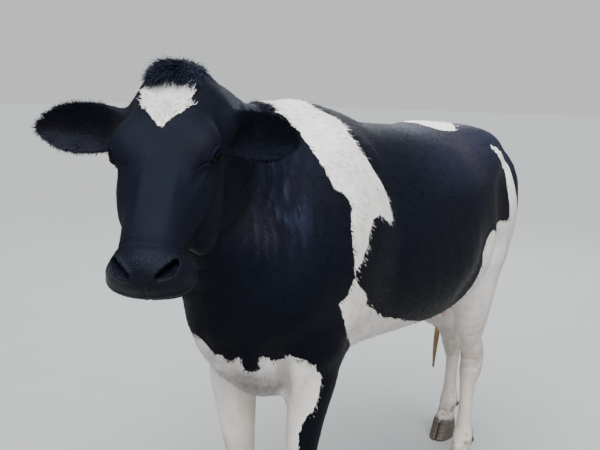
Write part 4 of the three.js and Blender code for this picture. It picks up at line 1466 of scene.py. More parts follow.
SPIKE = lock_object("spike", [(0, 0, 0, 1), (1, 0, 0.25, 0)])
LOCK = lock_object("lock", [(0, 0, 0, 0.8), (0.42, 0, 0.5, 1), (0.78, 0.1, 0.6, 0.6), (1, 0.25, 0.2, 0)])
WAVE = lock_object("wave", [
    (0, 0, 0, 0.8), (0.18, 1.5, 0.6, 1), (0.36, 1.0, 1.1, 1), (0.54, -1.2, 1.1, 0.95),
    (0.72, -1.7, 0.9, 0.8), (0.88, 0.1, 0.5, 0.5), (1, 1.5, 0.2, 0),
])
CURL = lock_object("curl", [
    (0, 0, 0, 0.7), (0.25, 1.2, 1.6, 1), (0.5, 3.0, 3.0, 1), (0.72, 4.3, 3.2, 0.9),
    (0.88, 4.4, 2.4, 0.7), (0.98, 3.2, 1.2, 0),
])
print("locks:", [(o.name, len(o.data.polygons)) for o in (SPIKE, LOCK, WAVE, CURL)])


# %% A short way to build node trees
class Graph:
    """A node tree, with short ways to add nodes and to join them."""

    def __init__(self, tree):
        self.tree, self.nodes = tree, tree.nodes

    def feed(self, socket, value):
        """Joins another node's output to the socket, or sets a plain value on it."""
        if isinstance(value, bpy.types.NodeSocket):
            self.tree.links.new(value, socket)
        else:
            socket.default_value = value

    def add(self, kind, inputs=None, **settings):
        node = self.nodes.new(kind)
        for key, value in settings.items():
            setattr(node, key, value)
        for key, value in (inputs or {}).items():
            self.feed(node.inputs[key], value)
        return node


def new_group(name, kind, inputs, outputs):
    """A node group with named sockets, as a graph with its inputs and its outputs."""
    tree = bpy.data.node_groups.new(name, kind)
    for way, rows in (("INPUT", inputs), ("OUTPUT", outputs)):
        for label, sort, *value in rows:
            socket = tree.interface.new_socket(label, in_out=way, socket_type="NodeSocket" + sort)
            if value:
                socket.default_value = value[0]
    graph = Graph(tree)
    return graph, graph.add("NodeGroupInput").outputs, graph.add("NodeGroupOutput").inputs


def live(sockets, kind="VALUE"):
    """The sockets of a kind that the node's settings leave in use."""
    return [socket for socket in sockets if socket.type == kind and socket.enabled]


# %% The tree that sets the locks
def coat_tree():
    g, given, result = new_group("coat", "GeometryNodeTree", [
        ("Geometry", "Geometry"), ("Lock", "Object"), ("Length", "Float", 1.0), ("Width", "Float", 1.0),
        ("Roll", "Float", 0.5), ("Seed", "Int", 1), ("Map patch", "Float", 0.003), ("Material", "Material"),
    ], [("Geometry", "Geometry")])

    def stored(name):
        node = g.add("GeometryNodeInputNamedAttribute", {"Name": name}, data_type="FLOAT_VECTOR")
        return node.outputs["Attribute"]

    turn = g.add("FunctionNodeAxesToRotation", {0: stored("lie"), 1: stored("out")},
                 primary_axis="Z", secondary_axis="Y")
    least = g.add("ShaderNodeMath", {0: given["Roll"], 1: -1}, operation="MULTIPLY")
    chance = g.add("FunctionNodeRandomValue", {"Seed": given["Seed"]}, data_type="FLOAT")
    for socket, value in zip(live(chance.inputs), (least.outputs[0], given["Roll"])):
        g.feed(socket, value)
    roll = g.add("FunctionNodeAxisAngleToRotation", {"Axis": (0, 0, 1), "Angle": live(chance.outputs)[0]})
    rolled = g.add("FunctionNodeRotateRotation", {0: turn.outputs[0], 1: roll.outputs[0]},
                   rotation_space="LOCAL")
    stretch = g.add("ShaderNodeCombineXYZ", {0: given["Width"], 1: given["Width"], 2: given["Length"]})
    size = g.add("ShaderNodeVectorMath", {0: stored("size"), 1: stretch.outputs[0]}, operation="MULTIPLY")
    lock = g.add("GeometryNodeObjectInfo", {"Object": given["Lock"]})
    put = g.add("GeometryNodeInstanceOnPoints", {
        "Points": given["Geometry"], "Instance": lock.outputs["Geometry"],
        "Rotation": rolled.outputs[0], "Scale": size.outputs[0],
    })
    real = g.add("GeometryNodeRealizeInstances", {0: put.outputs[0]})
    patch = g.add("ShaderNodeVectorMath", {0: stored("local"), "Scale": given["Map patch"]},
                  operation="SCALE")
    spot = g.add("ShaderNodeVectorMath", {0: stored("place"), 1: patch.outputs[0]}, operation="ADD")
    keep = g.add("GeometryNodeStoreNamedAttribute", data_type="FLOAT2", domain="CORNER")
    g.feed(keep.inputs["Name"], "OFBake")
    g.feed(keep.inputs["Geometry"], real.outputs[0])
    g.feed([s for s in keep.inputs if s.name == "Value" and s.enabled][0], spot.outputs[0])
    last = keep.outputs[0]
    for name in ("lie", "size", "place", "local"):
        last = g.add("GeometryNodeRemoveAttribute", {"Name": name, "Geometry": last}).outputs[0]
    finish = g.add("GeometryNodeSetMaterial", {"Geometry": last, "Material": given["Material"]})
    g.feed(result[0], finish.outputs[0])
    return g.tree


COAT_TREE = coat_tree()
SOCKETS = {s.name: s.identifier for s in COAT_TREE.interface.items_tree if s.in_out == "INPUT"}
print("coat tree:", len(COAT_TREE.nodes), "nodes")


# %% Making one piece of coat
BODY_SHARE = 0.85             # how much of a lock's shading follows the body under it


def body_normals(mesh, share):
    """Bends the locks' normals to the skin's, because a real coat is shaded as one surface."""
    count = len(mesh.vertices)
    own, out = np.zeros(3 * count, np.float32), np.zeros(3 * count, np.float32)
    mesh.vertex_normals.foreach_get("vector", own)
    mesh.attributes["out"].data.foreach_get("vector", out)
    blended = (1 - share) * own.reshape(-1, 3) + share * out.reshape(-1, 3)
    mesh.normals_split_custom_set_from_vertices(unit(blended))
    mesh.attributes.remove(mesh.attributes["out"])


def coat_piece(name, roots_at, lie, size, marks, chart_places, lock, material, roll, seed, follow):
    """Real locks on the given roots. Sizes are [width, thickness, length] in millimetres."""
    points, normals = roots_at
    base = bpy.data.meshes.new(name + "_roots")
    base.vertices.add(len(points))
    base.vertices.foreach_set("co", place(points).astype(np.float32).ravel())
    holder = bpy.data.objects.new(name + "_roots", base)
    bpy.context.scene.collection.objects.link(holder)
    places, patch = map_places(*chart_places)
    millimetres = np.asarray(size) * MILLIMETRE
    for key, values in (("lie", lie), ("out", normals), ("size", millimetres), ("place", places)):
        store(holder, key, values, "FLOAT_VECTOR")
    store(holder, "white", marks[0])
    store(holder, "shade", marks[1])
    modifier = holder.modifiers.new("coat", "NODES")
    modifier.node_group = COAT_TREE
    chosen = {"Lock": lock, "Roll": roll, "Seed": seed, "Material": material, "Map patch": patch}
    for key, value in chosen.items():
        modifier[SOCKETS[key]] = value
    graph = bpy.context.evaluated_depsgraph_get()
    grown = holder.evaluated_get(graph)
    mesh = bpy.data.meshes.new_from_object(grown, preserve_all_data_layers=True, depsgraph=graph)
    mesh.name = name
    body_normals(mesh, follow)
    piece = bpy.data.objects.new(name, mesh)
    bpy.context.scene.collection.objects.link(piece)
    bpy.data.objects.remove(holder)
    bpy.data.meshes.remove(base)
    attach(piece, "root")
    print(name, len(points), "locks,", len(mesh.polygons), "faces")
    return piece


def tangled(way, normals, points, draw, wide, waves, scale):
    """The hair's way, turned in the skin by chance and by slow waves."""
    angle = wide * draw.standard_normal(len(points)) + waves * ragged(points, scale, 31)
    across = np.cross(normals, way)
    return unit(way * np.cos(angle)[:, None] + across * np.sin(angle)[:, None])


def raised(way, normals, angle):
    """The way tipped out of the skin by the angle."""
    angle = np.broadcast_to(angle, len(way))
    return way * np.cos(angle)[:, None] + normals * np.sin(angle)[:, None]


print("inputs of the coat:", ", ".join(SOCKETS))

# %% [markdown]
# ## Finishes
#
# Black hair isn't one black. It has a cool gloss, and it is paler on the neck and the back, partly from sun
# and dust and partly as painted highlights in streaks down the neck and painted sheen on top of the back. It
# is also painted darker low on the body, as painted shade. White hair is a warm grey-white that picks up dirt
# low on the legs, and it is painted darker under the brisket and in its creases, as painted shade with some
# stain. Skin and locks use the same colour group, so that they can't differ. The group reads the stored
# distance to the border, and noise makes the border ragged.

# %% Shader nodes in short
class Shades(Graph):
    """A graph of shader nodes, whose tools give back the output that is wanted."""

    def mix(self, factor, first, second, mode="MIX"):
        node = self.add("ShaderNodeMix", {0: factor, 6: first, 7: second}, data_type="RGBA", blend_type=mode)
        return node.outputs[2]

    def scaled(self, source, low, high, out_low=0.0, out_high=1.0):
        inputs = {0: source, 1: low, 2: high, 3: out_low, 4: out_high}
        return self.add("ShaderNodeMapRange", inputs).outputs[0]

    def maths(self, operation, first, second=0.0):
        return self.add("ShaderNodeMath", {0: first, 1: second}, operation=operation).outputs[0]

    def times(self, first, second):
        return self.maths("MULTIPLY", first, second)

    def plus(self, first, second):
        return self.maths("ADD", first, second)

    def noise(self, where, scale, detail=3.0, rough=0.55, stretch=None):
        if stretch is not None:
            where = self.add("ShaderNodeMapping", {0: where, "Scale": stretch}).outputs[0]
        inputs = {"Vector": where, "Scale": scale, "Detail": detail, "Roughness": rough}
        return self.add("ShaderNodeTexNoise", inputs).outputs["Fac"]

    def where(self):
        return self.add("ShaderNodeTexCoord").outputs["Object"]

    def height(self, where):
        return self.add("ShaderNodeSeparateXYZ", {0: where}).outputs[2]

    def grey(self, value):
        return self.add("ShaderNodeCombineColor", {i: value for i in range(3)}).outputs[0]

    def read(self, name):
        """A value that is stored on the piece's points."""
        return self.add("ShaderNodeAttribute", attribute_name=name).outputs["Fac"]

    def bumped(self, height, strength, distance):
        inputs = {"Height": height, "Strength": strength, "Distance": distance}
        return self.add("ShaderNodeBump", inputs).outputs[0]

    def finish(self, values):
        """Joins or sets the Principled shader's own sockets."""
        for name, value in values.items():
            self.feed(self.nodes["Principled BSDF"].inputs[name], value)


def new_material(name):
    material = bpy.data.materials.new(name)
    material.use_nodes = True
    return material, Shades(material.node_tree)


# %% Colour group
BLACK_HAIR = (0.0038, 0.0043, 0.0082, 1)
BROWN_HAIR = (0.0085, 0.0070, 0.0086, 1)
WHITE_HAIR = (0.80, 0.785, 0.76, 1)
WARM_HAIR = (0.60, 0.525, 0.46, 1)
MUD = (0.14, 0.105, 0.075, 1)
COOL_GLOSS = (0.55, 0.68, 1.0, 1)
FLOOR_MUD = 0.34               # metres up the legs to which mud splashes


def coat_colours():
    """The coat's colour, from the distance to the border and a shade, for hair and skin."""
    group, given, result = new_group(
        "coat colours", "ShaderNodeTree",
        [("White", "Float", 0.0), ("Shade", "Float", 0.5)], [("Color", "Color")])
    g = Shades(group.tree)
    where = g.where()
    height = g.height(where)
    white, shade = given["White"], given["Shade"]
    mask = g.scaled(white, -0.8, 0.8)
    patches = g.noise(where, 3.2, 2)
    brown = g.times(g.scaled(patches, 0.48, 0.70), 0.8)
    warm = g.plus(g.scaled(patches, 0.42, 0.72, 0.0, 0.5), g.scaled(height, 1.12, 0.35, 0.0, 0.8))
    pale = g.mix(g.maths("MINIMUM", warm, 1.0), WHITE_HAIR, WARM_HAIR)
    colour = g.mix(mask, g.mix(brown, BLACK_HAIR, BROWN_HAIR), pale)
    # the shade makes black up to 13 times lighter, and white darker where it is stained or painted in shade;
    # black is also painted darker towards the bottom of the body, down to half below 0.95 m, as painted shade
    dark_tone = g.times(g.scaled(shade, 0, 10.0, 0.55, 12.9), g.scaled(height, 0.95, 1.28, 0.5, 1.0))
    pale_tone = g.scaled(shade, -1.8, 1.4, 0.30, 1.25)
    tone = g.add("ShaderNodeMix", {0: mask, 2: dark_tone, 3: pale_tone}).outputs[0]
    streaks = g.noise(where, 34, 4, 0.6, (1, 0.8, 0.3))
    tone = g.plus(tone, g.scaled(streaks, 0.3, 0.7, -0.10, 0.10))
    colour = g.mix(1.0, colour, g.grey(tone), "MULTIPLY")
    reach = g.scaled(height, 0.04, FLOOR_MUD, 0.34, -0.25)
    mud = g.scaled(g.plus(g.noise(where, 26, 5, 0.65), reach), 0.62, 0.78, 0.0, 0.75)
    g.feed(result["Color"], g.mix(mud, colour, MUD))
    return g.tree


COAT_COLOURS = coat_colours()
print("coat colours:", len(COAT_COLOURS.nodes), "nodes")


# %% Material of hair
def hair_material():
    material, g = new_material("hair")
    stored = {"White": g.read("white"), "Shade": g.read("shade")}
    colour = g.add("ShaderNodeGroup", stored, node_tree=COAT_COLOURS).outputs["Color"]
    # painted shade: each lock is darker at its root, where it lies among the other locks
    root = g.grey(g.scaled(g.read("tip"), 0.0, 0.6, 0.72, 1.0))
    g.finish({
        "Base Color": g.mix(1.0, colour, root, "MULTIPLY"),
        "Roughness": 0.44,
        "Specular IOR Level": 0.10,
        "Specular Tint": COOL_GLOSS,
    })
    return material


HAIR = hair_material()
print("hair material:", len(HAIR.node_tree.nodes), "nodes")

# %% [markdown]
# ## The coat, region by region
#
# Locks are smallest on the face and feet, longer on the neck and trunk, and longest on
# the poll, in the ears, under the brisket and on the tail. They lie nearly flat. Three
# pieces share the trunk so that none grows too heavy.

# %% Charts for the map
def leg_chart(p):
    x, y, z = p.T
    leg = np.round((x > 0) + 2.0 * (y > 400))
    centre_x = np.where(x > 0, 110, -110)
    centre_y = np.where(y > 400, np.where(x > 0, 1120, 1420), -80)
    return leg * 10 + np.arctan2(x - centre_x, y - centre_y), z


def ear_chart(p):
    own = to_head(p)[:, 0] > 0
    run = np.zeros((len(p), 3))
    for side, part in ((1, own), (-1, ~own)):
        run[part] = np.stack(ear_axes(p[part], side)[:3], 1)
    return np.where(own, 1, -1) * 1000 + np.sign(run[:, 2]) * 300 + run[:, 1], run[:, 0]


def head_chart(p):
    h = to_head(p)
    return h[:, 1], np.arctan2(h[:, 0], h[:, 2] + 90)


def barrel_chart(p):
    return p[:, 1], np.arctan2(p[:, 0], p[:, 2] - BARREL_CENTRE)


def tail_chart(p):
    return p[:, 2], np.arctan2(p[:, 0] + 60, p[:, 1] - 1460)


ZONE_CHARTS = {                # two numbers that run along and round each part of the body
    "trunk": barrel_chart, "neck": barrel_chart, "legs": leg_chart,
    "tail": tail_chart, "ears": ear_chart, "head": head_chart,
}
SHARE = 1.0
SHADE_LOW, SHADE_HIGH = -1.8, 10
LEAST_TILT, MOST_TILT = 0.02, 1.45    # radians out of the skin
pieces = []


def grow(name, mask, zone, amount, seed, size_of, tilt, tangle, lock=SPIKE, weight=None,
         roll=0.5, deep=1.2, white_spread=3.0, follow=BODY_SHARE, mottle=0.24):
    """Strews roots on a zone and makes a piece of coat of them."""
    amount = int(amount * SHARE)
    points, normals, draw = roots(mask, amount, seed, weight)
    way = tangled(lie_of(points, normals), normals, points, draw, *tangle)
    angle = np.clip(tilt + 0.06 * draw.standard_normal(amount), LEAST_TILT, MOST_TILT)
    size = size_of(points, draw)
    white = whiteness(points) + white_spread * draw.standard_normal(amount)
    shade = 0.5 + mottle * (draw.standard_normal(amount) + ragged(points * [1, 1, 0.4], 40, 5))
    # adds painted highlights, painted sheen and painted shade, as well as fading and stain
    shade = np.clip(shade + fade_sheen_and_shade(points), SHADE_LOW, SHADE_HIGH)
    pieces.append(coat_piece(
        name, (points - normals * deep, normals), raised(way, normals, angle), size, (white, shade),
        ZONE_CHARTS[zone](points), lock, HAIR, roll, seed, follow))


def sizes(*wanted, spread=0.18):
    """A function that gives each root a width, thickness and length near the given ones."""
    def size_of(points, draw):
        given = [v(points) if callable(v) else np.full(len(points), float(v)) for v in wanted]
        return np.stack([v * np.exp(spread * draw.standard_normal(len(points))) for v in given], 1)
    return size_of


print("share of the full coat:", SHARE)


# %% Trunk and neck
def trunk_length(p):
    belly = 1 - ramp(p[:, 2], 780, 900)
    rump = ramp(p[:, 1], 1000, 1200)
    return 13 + 7 * ramp(p[:, 2], 800, 1000) + 2 * belly + 4 * rump


def trunk_width(p):
    return 2.5 + 1.8 * ramp(p[:, 2], 800, 1000)


for i in range(3):
    grow(f"coat_trunk_{i + 1}", face_zone == "trunk", "trunk", 32000, 11 + i,
         sizes(trunk_width, 1.5, trunk_length), 0.035, (0.10, 0.26, 70))
grow("coat_neck", face_zone == "neck", "neck", 38000, 21, sizes(2.9, 1.4, 16), 0.045, (0.08, 0.20, 55),
     white_spread=0.8)

# %% Head, ears, legs and tail
face_bare = bare_muzzle(face_centre) + lid_margin(face_centre)
hair_on_head = (face_zone == "head") & (face_bare < 0.5)
h_centre = to_head(face_centre)
front_of_head = distance(face_centre, HEAD_CENTRE) < HEAD_REACH
star_mask = front_of_head & (outline_distance(h_centre[:, :2], STAR) > 2) & (h_centre[:, 1] > 50)


def head_length(p):
    h = to_head(p)
    star = bell(h[:, 0], 75) * bell(h[:, 1] - 90, 75) * ramp(h[:, 2], -60, -20)
    muzzle = ramp(h[:, 1], 330, 450)
    eye = bell(distance(np.abs(h)[:, :2], EYE_PLACE[:2]), 42)
    cheek = ramp(-h[:, 2], 90, 170)
    return 6.5 + 4 * star - 2.4 * muzzle - 2.5 * eye + 5 * cheek


def head_width(p):
    return 0.95 + 0.08 * head_length(p)


for i in range(2):
    grow(f"coat_head_{i + 1}", hair_on_head, "head", 34000, 31 + i, sizes(head_width, 0.6, head_length),
         0.045, (0.10, 0.20, 26), weight=1 - 0.6 * star_mask, deep=0.5, white_spread=1.0, follow=0.5,
         mottle=0.5)


def leg_length(p):
    return 11 + 9 * ramp(p[:, 2], 380, 560) + 5 * (1 - ramp(p[:, 2], 95, 150))


def ear_length(p):
    return 8.5 + 9 * ear_inside(p)


grow("coat_legs", face_zone == "legs", "legs", 30000, 41, sizes(2.8, 1.2, leg_length), 0.07, (0.12, 0.2, 30),
     deep=0.8)
grow("coat_ears", face_zone == "ears", "ears", 9000, 51, sizes(1.25, 0.7, ear_length), 0.09,
     (0.12, 0.15, 20), lock=LOCK, deep=0.6)
grow("coat_tail", face_zone == "tail", "tail", 6000, 61, sizes(2.6, 1.6, 22), 0.13, (0.12, 0.1, 30))
print("coat:", sum(len(piece.data.polygons) for piece in pieces), "faces,", clock())

# %% [markdown]
# ## The skin's finish
#
# Where the coat is short the skin shows between the locks, so it has the coat's colours
# and a fine streaky bump. The nose pad is bare, black and always moist, with small
# pebbles. The udder is bare and pink, and the rims of the eyelids are black and wet.

# %% Skin material
NOSE_BLACK = (0.0034, 0.0038, 0.0066, 1)
NOSE_GREY = (0.0070, 0.0078, 0.0118, 1)
UDDER_PINK = (0.62, 0.37, 0.29, 1)
EAR_DARK = (0.008, 0.0072, 0.009, 1)
RIM_BLACK = (0.005, 0.005, 0.006, 1)
SKIN_GLOSS = (0.6, 0.72, 1.0, 1)


def skin_material():
    material, g = new_material("skin")
    where = g.where()
    jag = g.scaled(g.noise(where, 70, 3, 0.6, (1, 1, 0.35)), 0.25, 0.75, -5, 5)
    stored = {"White": g.plus(g.read("white"), jag), "Shade": g.read("shade")}
    coat = g.add("ShaderNodeGroup", stored, node_tree=COAT_COLOURS).outputs["Color"]
    muzzle, udder, rim, ear = (g.read(key) for key in ("muzzle", "udder", "rim", "ear"))
    blotch = g.noise(where, 60, 4)
    nose = g.mix(g.scaled(blotch, 0.42, 0.66, 0.0, 0.8), NOSE_BLACK, NOSE_GREY)
    pink = g.mix(g.scaled(blotch, 0.4, 0.7, 0.0, 0.5), UDDER_PINK, WARM_HAIR)
    colour = g.mix(udder, g.mix(muzzle, coat, nose), pink)
    colour = g.mix(g.times(ear, 0.8), colour, EAR_DARK)
    colour = g.mix(rim, colour, RIM_BLACK)
    wet = g.maths("MAXIMUM", muzzle, rim)
    dry = g.maths("SUBTRACT", 1.0, wet)
    moist = g.scaled(blotch, 0.3, 0.7, 0.30, 0.50)
    cells = g.add("ShaderNodeTexVoronoi", {"Scale": 330, "Vector": where})
    pebbles = g.times(g.scaled(cells.outputs["Distance"], 0.0, 0.75, 1.0, 0.0), muzzle)
    streaks = g.times(g.times(g.noise(where, 420, 2, 0.6, (1, 1, 0.16)), dry), 0.5)
    wrinkles = g.times(g.noise(where, 130, 3, 0.6), 0.35)
    g.finish({
        "Base Color": colour,
        "Roughness": g.plus(g.times(dry, 0.62), g.times(wet, moist)),
        "Normal": g.bumped(g.plus(g.plus(streaks, pebbles), wrinkles), 0.8, 0.001),
        "Specular IOR Level": 0.09,
        "Specular Tint": SKIN_GLOSS,
    })
    return material


skin.data.materials.append(skin_material())
print("skin material:", len(skin.data.materials[0].node_tree.nodes), "nodes")
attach(skin, "root")
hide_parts(*FLESH)

# %% [markdown]
# ## Eyes
#
# A cow's eye is a ball of 40 mm that lies deep, with only its front between the lids.
# The iris is a dark brown and the pupil a bar that lies level. The clear front bulges a
# little and is wet, so it carries a sharp highlight. The balls are turned out of a
# profile, round the way that the eye looks.

# %% Eyeballs
BULGE = 1.3                   # millimetres that the clear front stands out
IRIS = 0.68                   # radians from the eye's axis to the iris's edge
EYE_SIDES, EYE_RINGS = 56, 36


def circle(sides):
    """The cosine and sine of evenly spaced turns."""
    turns = [2 * math.pi * i / sides for i in range(sides)]
    return [(math.cos(turn), math.sin(turn)) for turn in turns]


def eye_frame(side):
    """The middle of an eye, and its ways out, along and up, in the body's millimetres."""
    flip = np.array([side, 1, 1])
    return from_head(EYE_PLACE * flip), *((way * flip) @ HEAD_AXES for way in (EYE_OUT, EYE_ALONG, EYE_HIGH))


def eyeball(name, side):
    centre, out, along, high = eye_frame(side)
    points, gaze = [], []
    for r in range(1, EYE_RINGS):
        angle = math.pi * r / EYE_RINGS
        radius = EYE_RADIUS + BULGE * float(bell(np.array(angle), 0.62))
        for c, s in circle(EYE_SIDES):
            x, y = math.sin(angle) * c, math.sin(angle) * s
            points.append(centre + radius * (math.cos(angle) * out + x * along + y * high))
            gaze.append((angle * c, angle * s))
    points += [centre + (EYE_RADIUS + BULGE) * out, centre - EYE_RADIUS * out]
    gaze += [(0, 0), (math.pi, 0)]
    faces = []
    front, rear = len(points) - 2, len(points) - 1
    for i in range(EYE_SIDES):
        j = (i + 1) % EYE_SIDES
        faces.append((front, i, j))
        for r in range(EYE_RINGS - 2):
            a, b = r * EYE_SIDES, (r + 1) * EYE_SIDES
            faces += [(a + i, b + i, b + j), (a + i, b + j, a + j)]
        last = (EYE_RINGS - 2) * EYE_SIDES
        faces.append((rear, last + j, last + i))
    piece = mesh_object(name, place(np.array(points)), np.array(faces))
    turn_outwards(piece.data)
    for key, values in zip(("gaze_x", "gaze_y"), np.array(gaze).T):
        store(piece, key, values)
    return piece


IRIS_DARK, IRIS_BROWN = (0.003, 0.0026, 0.003, 1), (0.006, 0.0045, 0.0045, 1)
BALL_BROWN, BALL_DARK = (0.014, 0.011, 0.011, 1), (0.006, 0.005, 0.006, 1)
PUPIL_BLACK = (0.0025, 0.0025, 0.0035, 1)


def eye_material():
    material, g = new_material("eye")
    x, y = g.read("gaze_x"), g.read("gaze_y")
    x2, y2 = g.times(x, x), g.times(y, y)
    iris = g.scaled(g.maths("SQRT", g.plus(x2, y2)), IRIS - 0.05, IRIS + 0.03, 1, 0)
    pupil = g.scaled(g.plus(g.times(x2, 5.2), g.times(y2, 16)), 0.8, 1.15, 1, 0)
    fleck = g.noise(g.where(), 900, 3)
    ball = g.mix(g.scaled(fleck, 0.4, 0.7), BALL_BROWN, BALL_DARK)
    colour = g.mix(iris, ball, g.mix(fleck, IRIS_DARK, IRIS_BROWN))
    g.finish({
        "Base Color": g.mix(pupil, colour, PUPIL_BLACK),
        "Roughness": 0.05,
        "Specular IOR Level": 0.03,
    })
    return material


EYE_FINISH = eye_material()
for name, side in SIDES.items():
    eye = eyeball(f"eyeball_{name}", side)
    eye.data.materials.append(EYE_FINISH)
    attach(eye, "root")
    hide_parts(f"eye_{name}")
print("eyeballs:", 2 * EYE_RADIUS, "mm, iris", round(2 * EYE_RADIUS * math.sin(IRIS), 1), "mm")

# %% [markdown]
# ## Claws
#
# A cow walks on two claws on each foot, and two dewclaws stand behind the fetlock. The
# horn grows down from the hairline in fine rings, and is worn flat below. Each claw is
# lofted through half-ovals, with its flat side to the cleft, and its edges are eased.

# %% Claws and dewclaws
CLAW = [                       # height, toe, heel and width
    [0, 92, 44, 48],
    [8, 91, 46, 50],
    [42, 70, 51, 48],
    [78, 52, 50, 44],
    [88, 45, 44, 39],
]
CLEFT = 2.5                    # half the gap between the claws
CLAW_HEIGHTS = [0, 1.2, 4, 9, 16, 24, 33, 42, 52, 62, 71, 79, 88]
CLAW_WORN = {0: 4.0, 1.2: 1.6, 4: 0.4}      # how much the lowest edges are rounded off
CLAW_SIDES = 26
DEWCLAW_SIDES = 16


def claw_points(foot_x, foot_y, outwards):
    points = []
    for height in CLAW_HEIGHTS:
        toe, heel_length, wide = (float(profile(CLAW, column, np.array([height]))[0]) for column in (1, 2, 3))
        worn = CLAW_WORN.get(height, 0.0)
        for c, s in circle(CLAW_SIDES):
            reach = (heel_length if s > 0 else toe) - worn
            outer = abs(c) ** 0.75 * (wide - worn)
            inner = 1.8 * (1 - abs(s)) + worn * 0.5
            across = CLEFT + (outer if c > 0 else inner)
            points.append((foot_x + outwards * across, foot_y + reach * s, float(height)))
    return points


def ring_faces(rings, sides, start):
    """The faces of a form with rings of points, closed at both ends."""
    faces = []
    for r in range(rings - 1):
        for i in range(sides):
            a, b = start + r * sides + i, start + r * sides + (i + 1) % sides
            faces += [(a, b, b + sides), (a, b + sides, a + sides)]
    bottom, top = start, start + (rings - 1) * sides
    faces += [(bottom, bottom + i + 1, bottom + i) for i in range(1, sides - 1)]
    return faces + [(top, top + i, top + i + 1) for i in range(1, sides - 1)]


DEWCLAW_RINGS = [(-18, 10), (-10, 14.2), (0, 14.8), (8, 13.2), (14, 10.6), (17, 7.0), (18, 2.5)]
DEWCLAW_TURN = math.radians(130)
DEWCLAW_PLACE = (20, 36, 140)  # outwards, behind the fetlock and up


def dewclaw_points(foot_x, fetlock_y, outwards):
    points = []
    c, s = math.cos(DEWCLAW_TURN), math.sin(DEWCLAW_TURN)
    off_side, behind, high = DEWCLAW_PLACE
    for along, radius in DEWCLAW_RINGS:
        for round_c, round_s in circle(DEWCLAW_SIDES):
            z = radius * round_s
            y, z = along * c - z * s, along * s + z * c
            points.append((foot_x + outwards * off_side + radius * round_c, fetlock_y + behind + y, high + z))
    return points


HORN_DARK, HORN_PALE = (0.032, 0.026, 0.022, 1), (0.095, 0.078, 0.062, 1)
HORN_STAIN, HORN_SOIL = (0.085, 0.064, 0.046, 1), (0.10, 0.078, 0.056, 1)


def horn_material():
    material, g = new_material("horn")
    where = g.where()
    rings = g.noise(where, 150, 2, 0.5, (0.12, 0.12, 1))
    stain = g.noise(where, 22, 5, 0.65)
    colour = g.mix(g.scaled(rings, 0.35, 0.65), HORN_DARK, HORN_PALE)
    colour = g.mix(g.scaled(stain, 0.45, 0.68, 0.0, 0.85), colour, HORN_STAIN)
    low = g.scaled(g.height(where), 0.0, 0.03, 0.7, 0.0)
    g.finish({
        "Base Color": g.mix(low, colour, HORN_SOIL),
        "Roughness": g.scaled(stain, 0.3, 0.7, 0.42, 0.72),
        "Normal": g.bumped(rings, 0.8, 0.0016),
    })
    return material


HORN = horn_material()
FEET = (("fore", 110, -100, -66), ("hind", 108, 1074, 1110))     # across, the claws and the fetlock
for (end, foot_across, claw_y, fetlock), (name, side) in itertools.product(FEET, SIDES.items()):
    step = HIND_STEP[side] if end == "hind" else 0
    foot_x = side * foot_across
    points, faces = [], []
    for outwards in (side, -side):
        faces += ring_faces(len(CLAW_HEIGHTS), CLAW_SIDES, len(points))
        points += claw_points(foot_x, claw_y + step, outwards)
        faces += ring_faces(len(DEWCLAW_RINGS), DEWCLAW_SIDES, len(points))
        points += dewclaw_points(foot_x, fetlock + step, outwards)
    foot = mesh_object(f"claws_{end}_{name}", place(np.array(points)), np.array(faces))
    turn_outwards(foot.data)
    foot.data.materials.append(HORN)
    kinds = itertools.product(("claw", "dewclaw"), ("outer", "inner"))
    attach(foot, "root")
    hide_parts(*[f"{kind}_{end}_{name}_{which}" for kind, which in kinds])
print("claws made")

# %% [markdown]
# ## Long and curly hair
#
# The poll carries a loose tuft that falls over the white star, and the star's hair is
# wavy. The ears have long hairs inside and a fringe all round. Hair is also longer along
# the crest, under the brisket and over the hairline of the claws.

# %% Poll, star and crest
head_across, head_down, head_out = h_centre.T
poll_mask = front_of_head & (head_down < 38) & (head_down > -40)
poll_mask &= (np.abs(head_across) < 54) & (head_out > -70)
CREST_Y, CREST_X = [-440, -240, 0], [60, 14, 0]       # the crest's line over the neck
off_crest = np.abs(face_centre[:, 0] - np.interp(face_centre[:, 1], CREST_Y, CREST_X))
crest_mask = (off_crest < 46) & (face_centre[:, 1] < -60) & (face_centre[:, 2] > 1430)
crest_mask &= (face_normal[:, 2] > 0) & (face_zone == "neck") & ~front_of_head


def special(name, mask, zone, amount, seed, size_of, tilt, tangle, lock=LOCK,
            way_of=lie_of, white=None, deep=1.0, shade=0.0, follow=BODY_SHARE):
    """Longer locks, whose way is a function of place and normal."""
    amount = int(amount * SHARE)
    points, normals, draw = roots(mask, amount, seed)
    way = way_of(points, normals)
    way = unit(way - normals * np.sum(way * normals, axis=1, keepdims=True))
    way = tangled(way, normals, points, draw, *tangle)
    angle = tilt(points) if callable(tilt) else tilt
    angle = np.clip(angle + 0.10 * draw.standard_normal(amount), LEAST_TILT, MOST_TILT)
    # adds painted highlights, painted sheen and painted shade, as well as fading and stain
    tone = 0.5 + shade + 0.2 * draw.standard_normal(amount) + fade_sheen_and_shade(points)
    marks = whiteness(points) if white is None else np.full(amount, float(white))
    pieces.append(coat_piece(
        name, (points - normals * deep, normals), raised(way, normals, angle), size_of(points, draw),
        (marks, np.clip(tone, SHADE_LOW, SHADE_HIGH)), ZONE_CHARTS[zone](points), lock, HAIR,
        roll=0.8, seed=seed, follow=follow))


def poll_way(p, n):
    """Upright behind, and falling forward over the star in front."""
    x, y, _ = to_head(p).T
    forward = np.stack([0.006 * x - 0.25, 0.9 + 0 * x, 0 * x], 1)
    upright = np.stack([0.012 * x, -0.9 + 0 * x, 0 * x], 1)
    return blend(upright, forward, ramp(y, -34, -16)) @ HEAD_AXES


def poll_length(p):
    h = to_head(p)
    return 15 + 28 * bell(h[:, 0] + 8, 46) * bell(h[:, 1] - 8, 36)


def poll_tilt(p):
    return 0.20 + 0.34 * bell(to_head(p)[:, 0] + 14, 38)
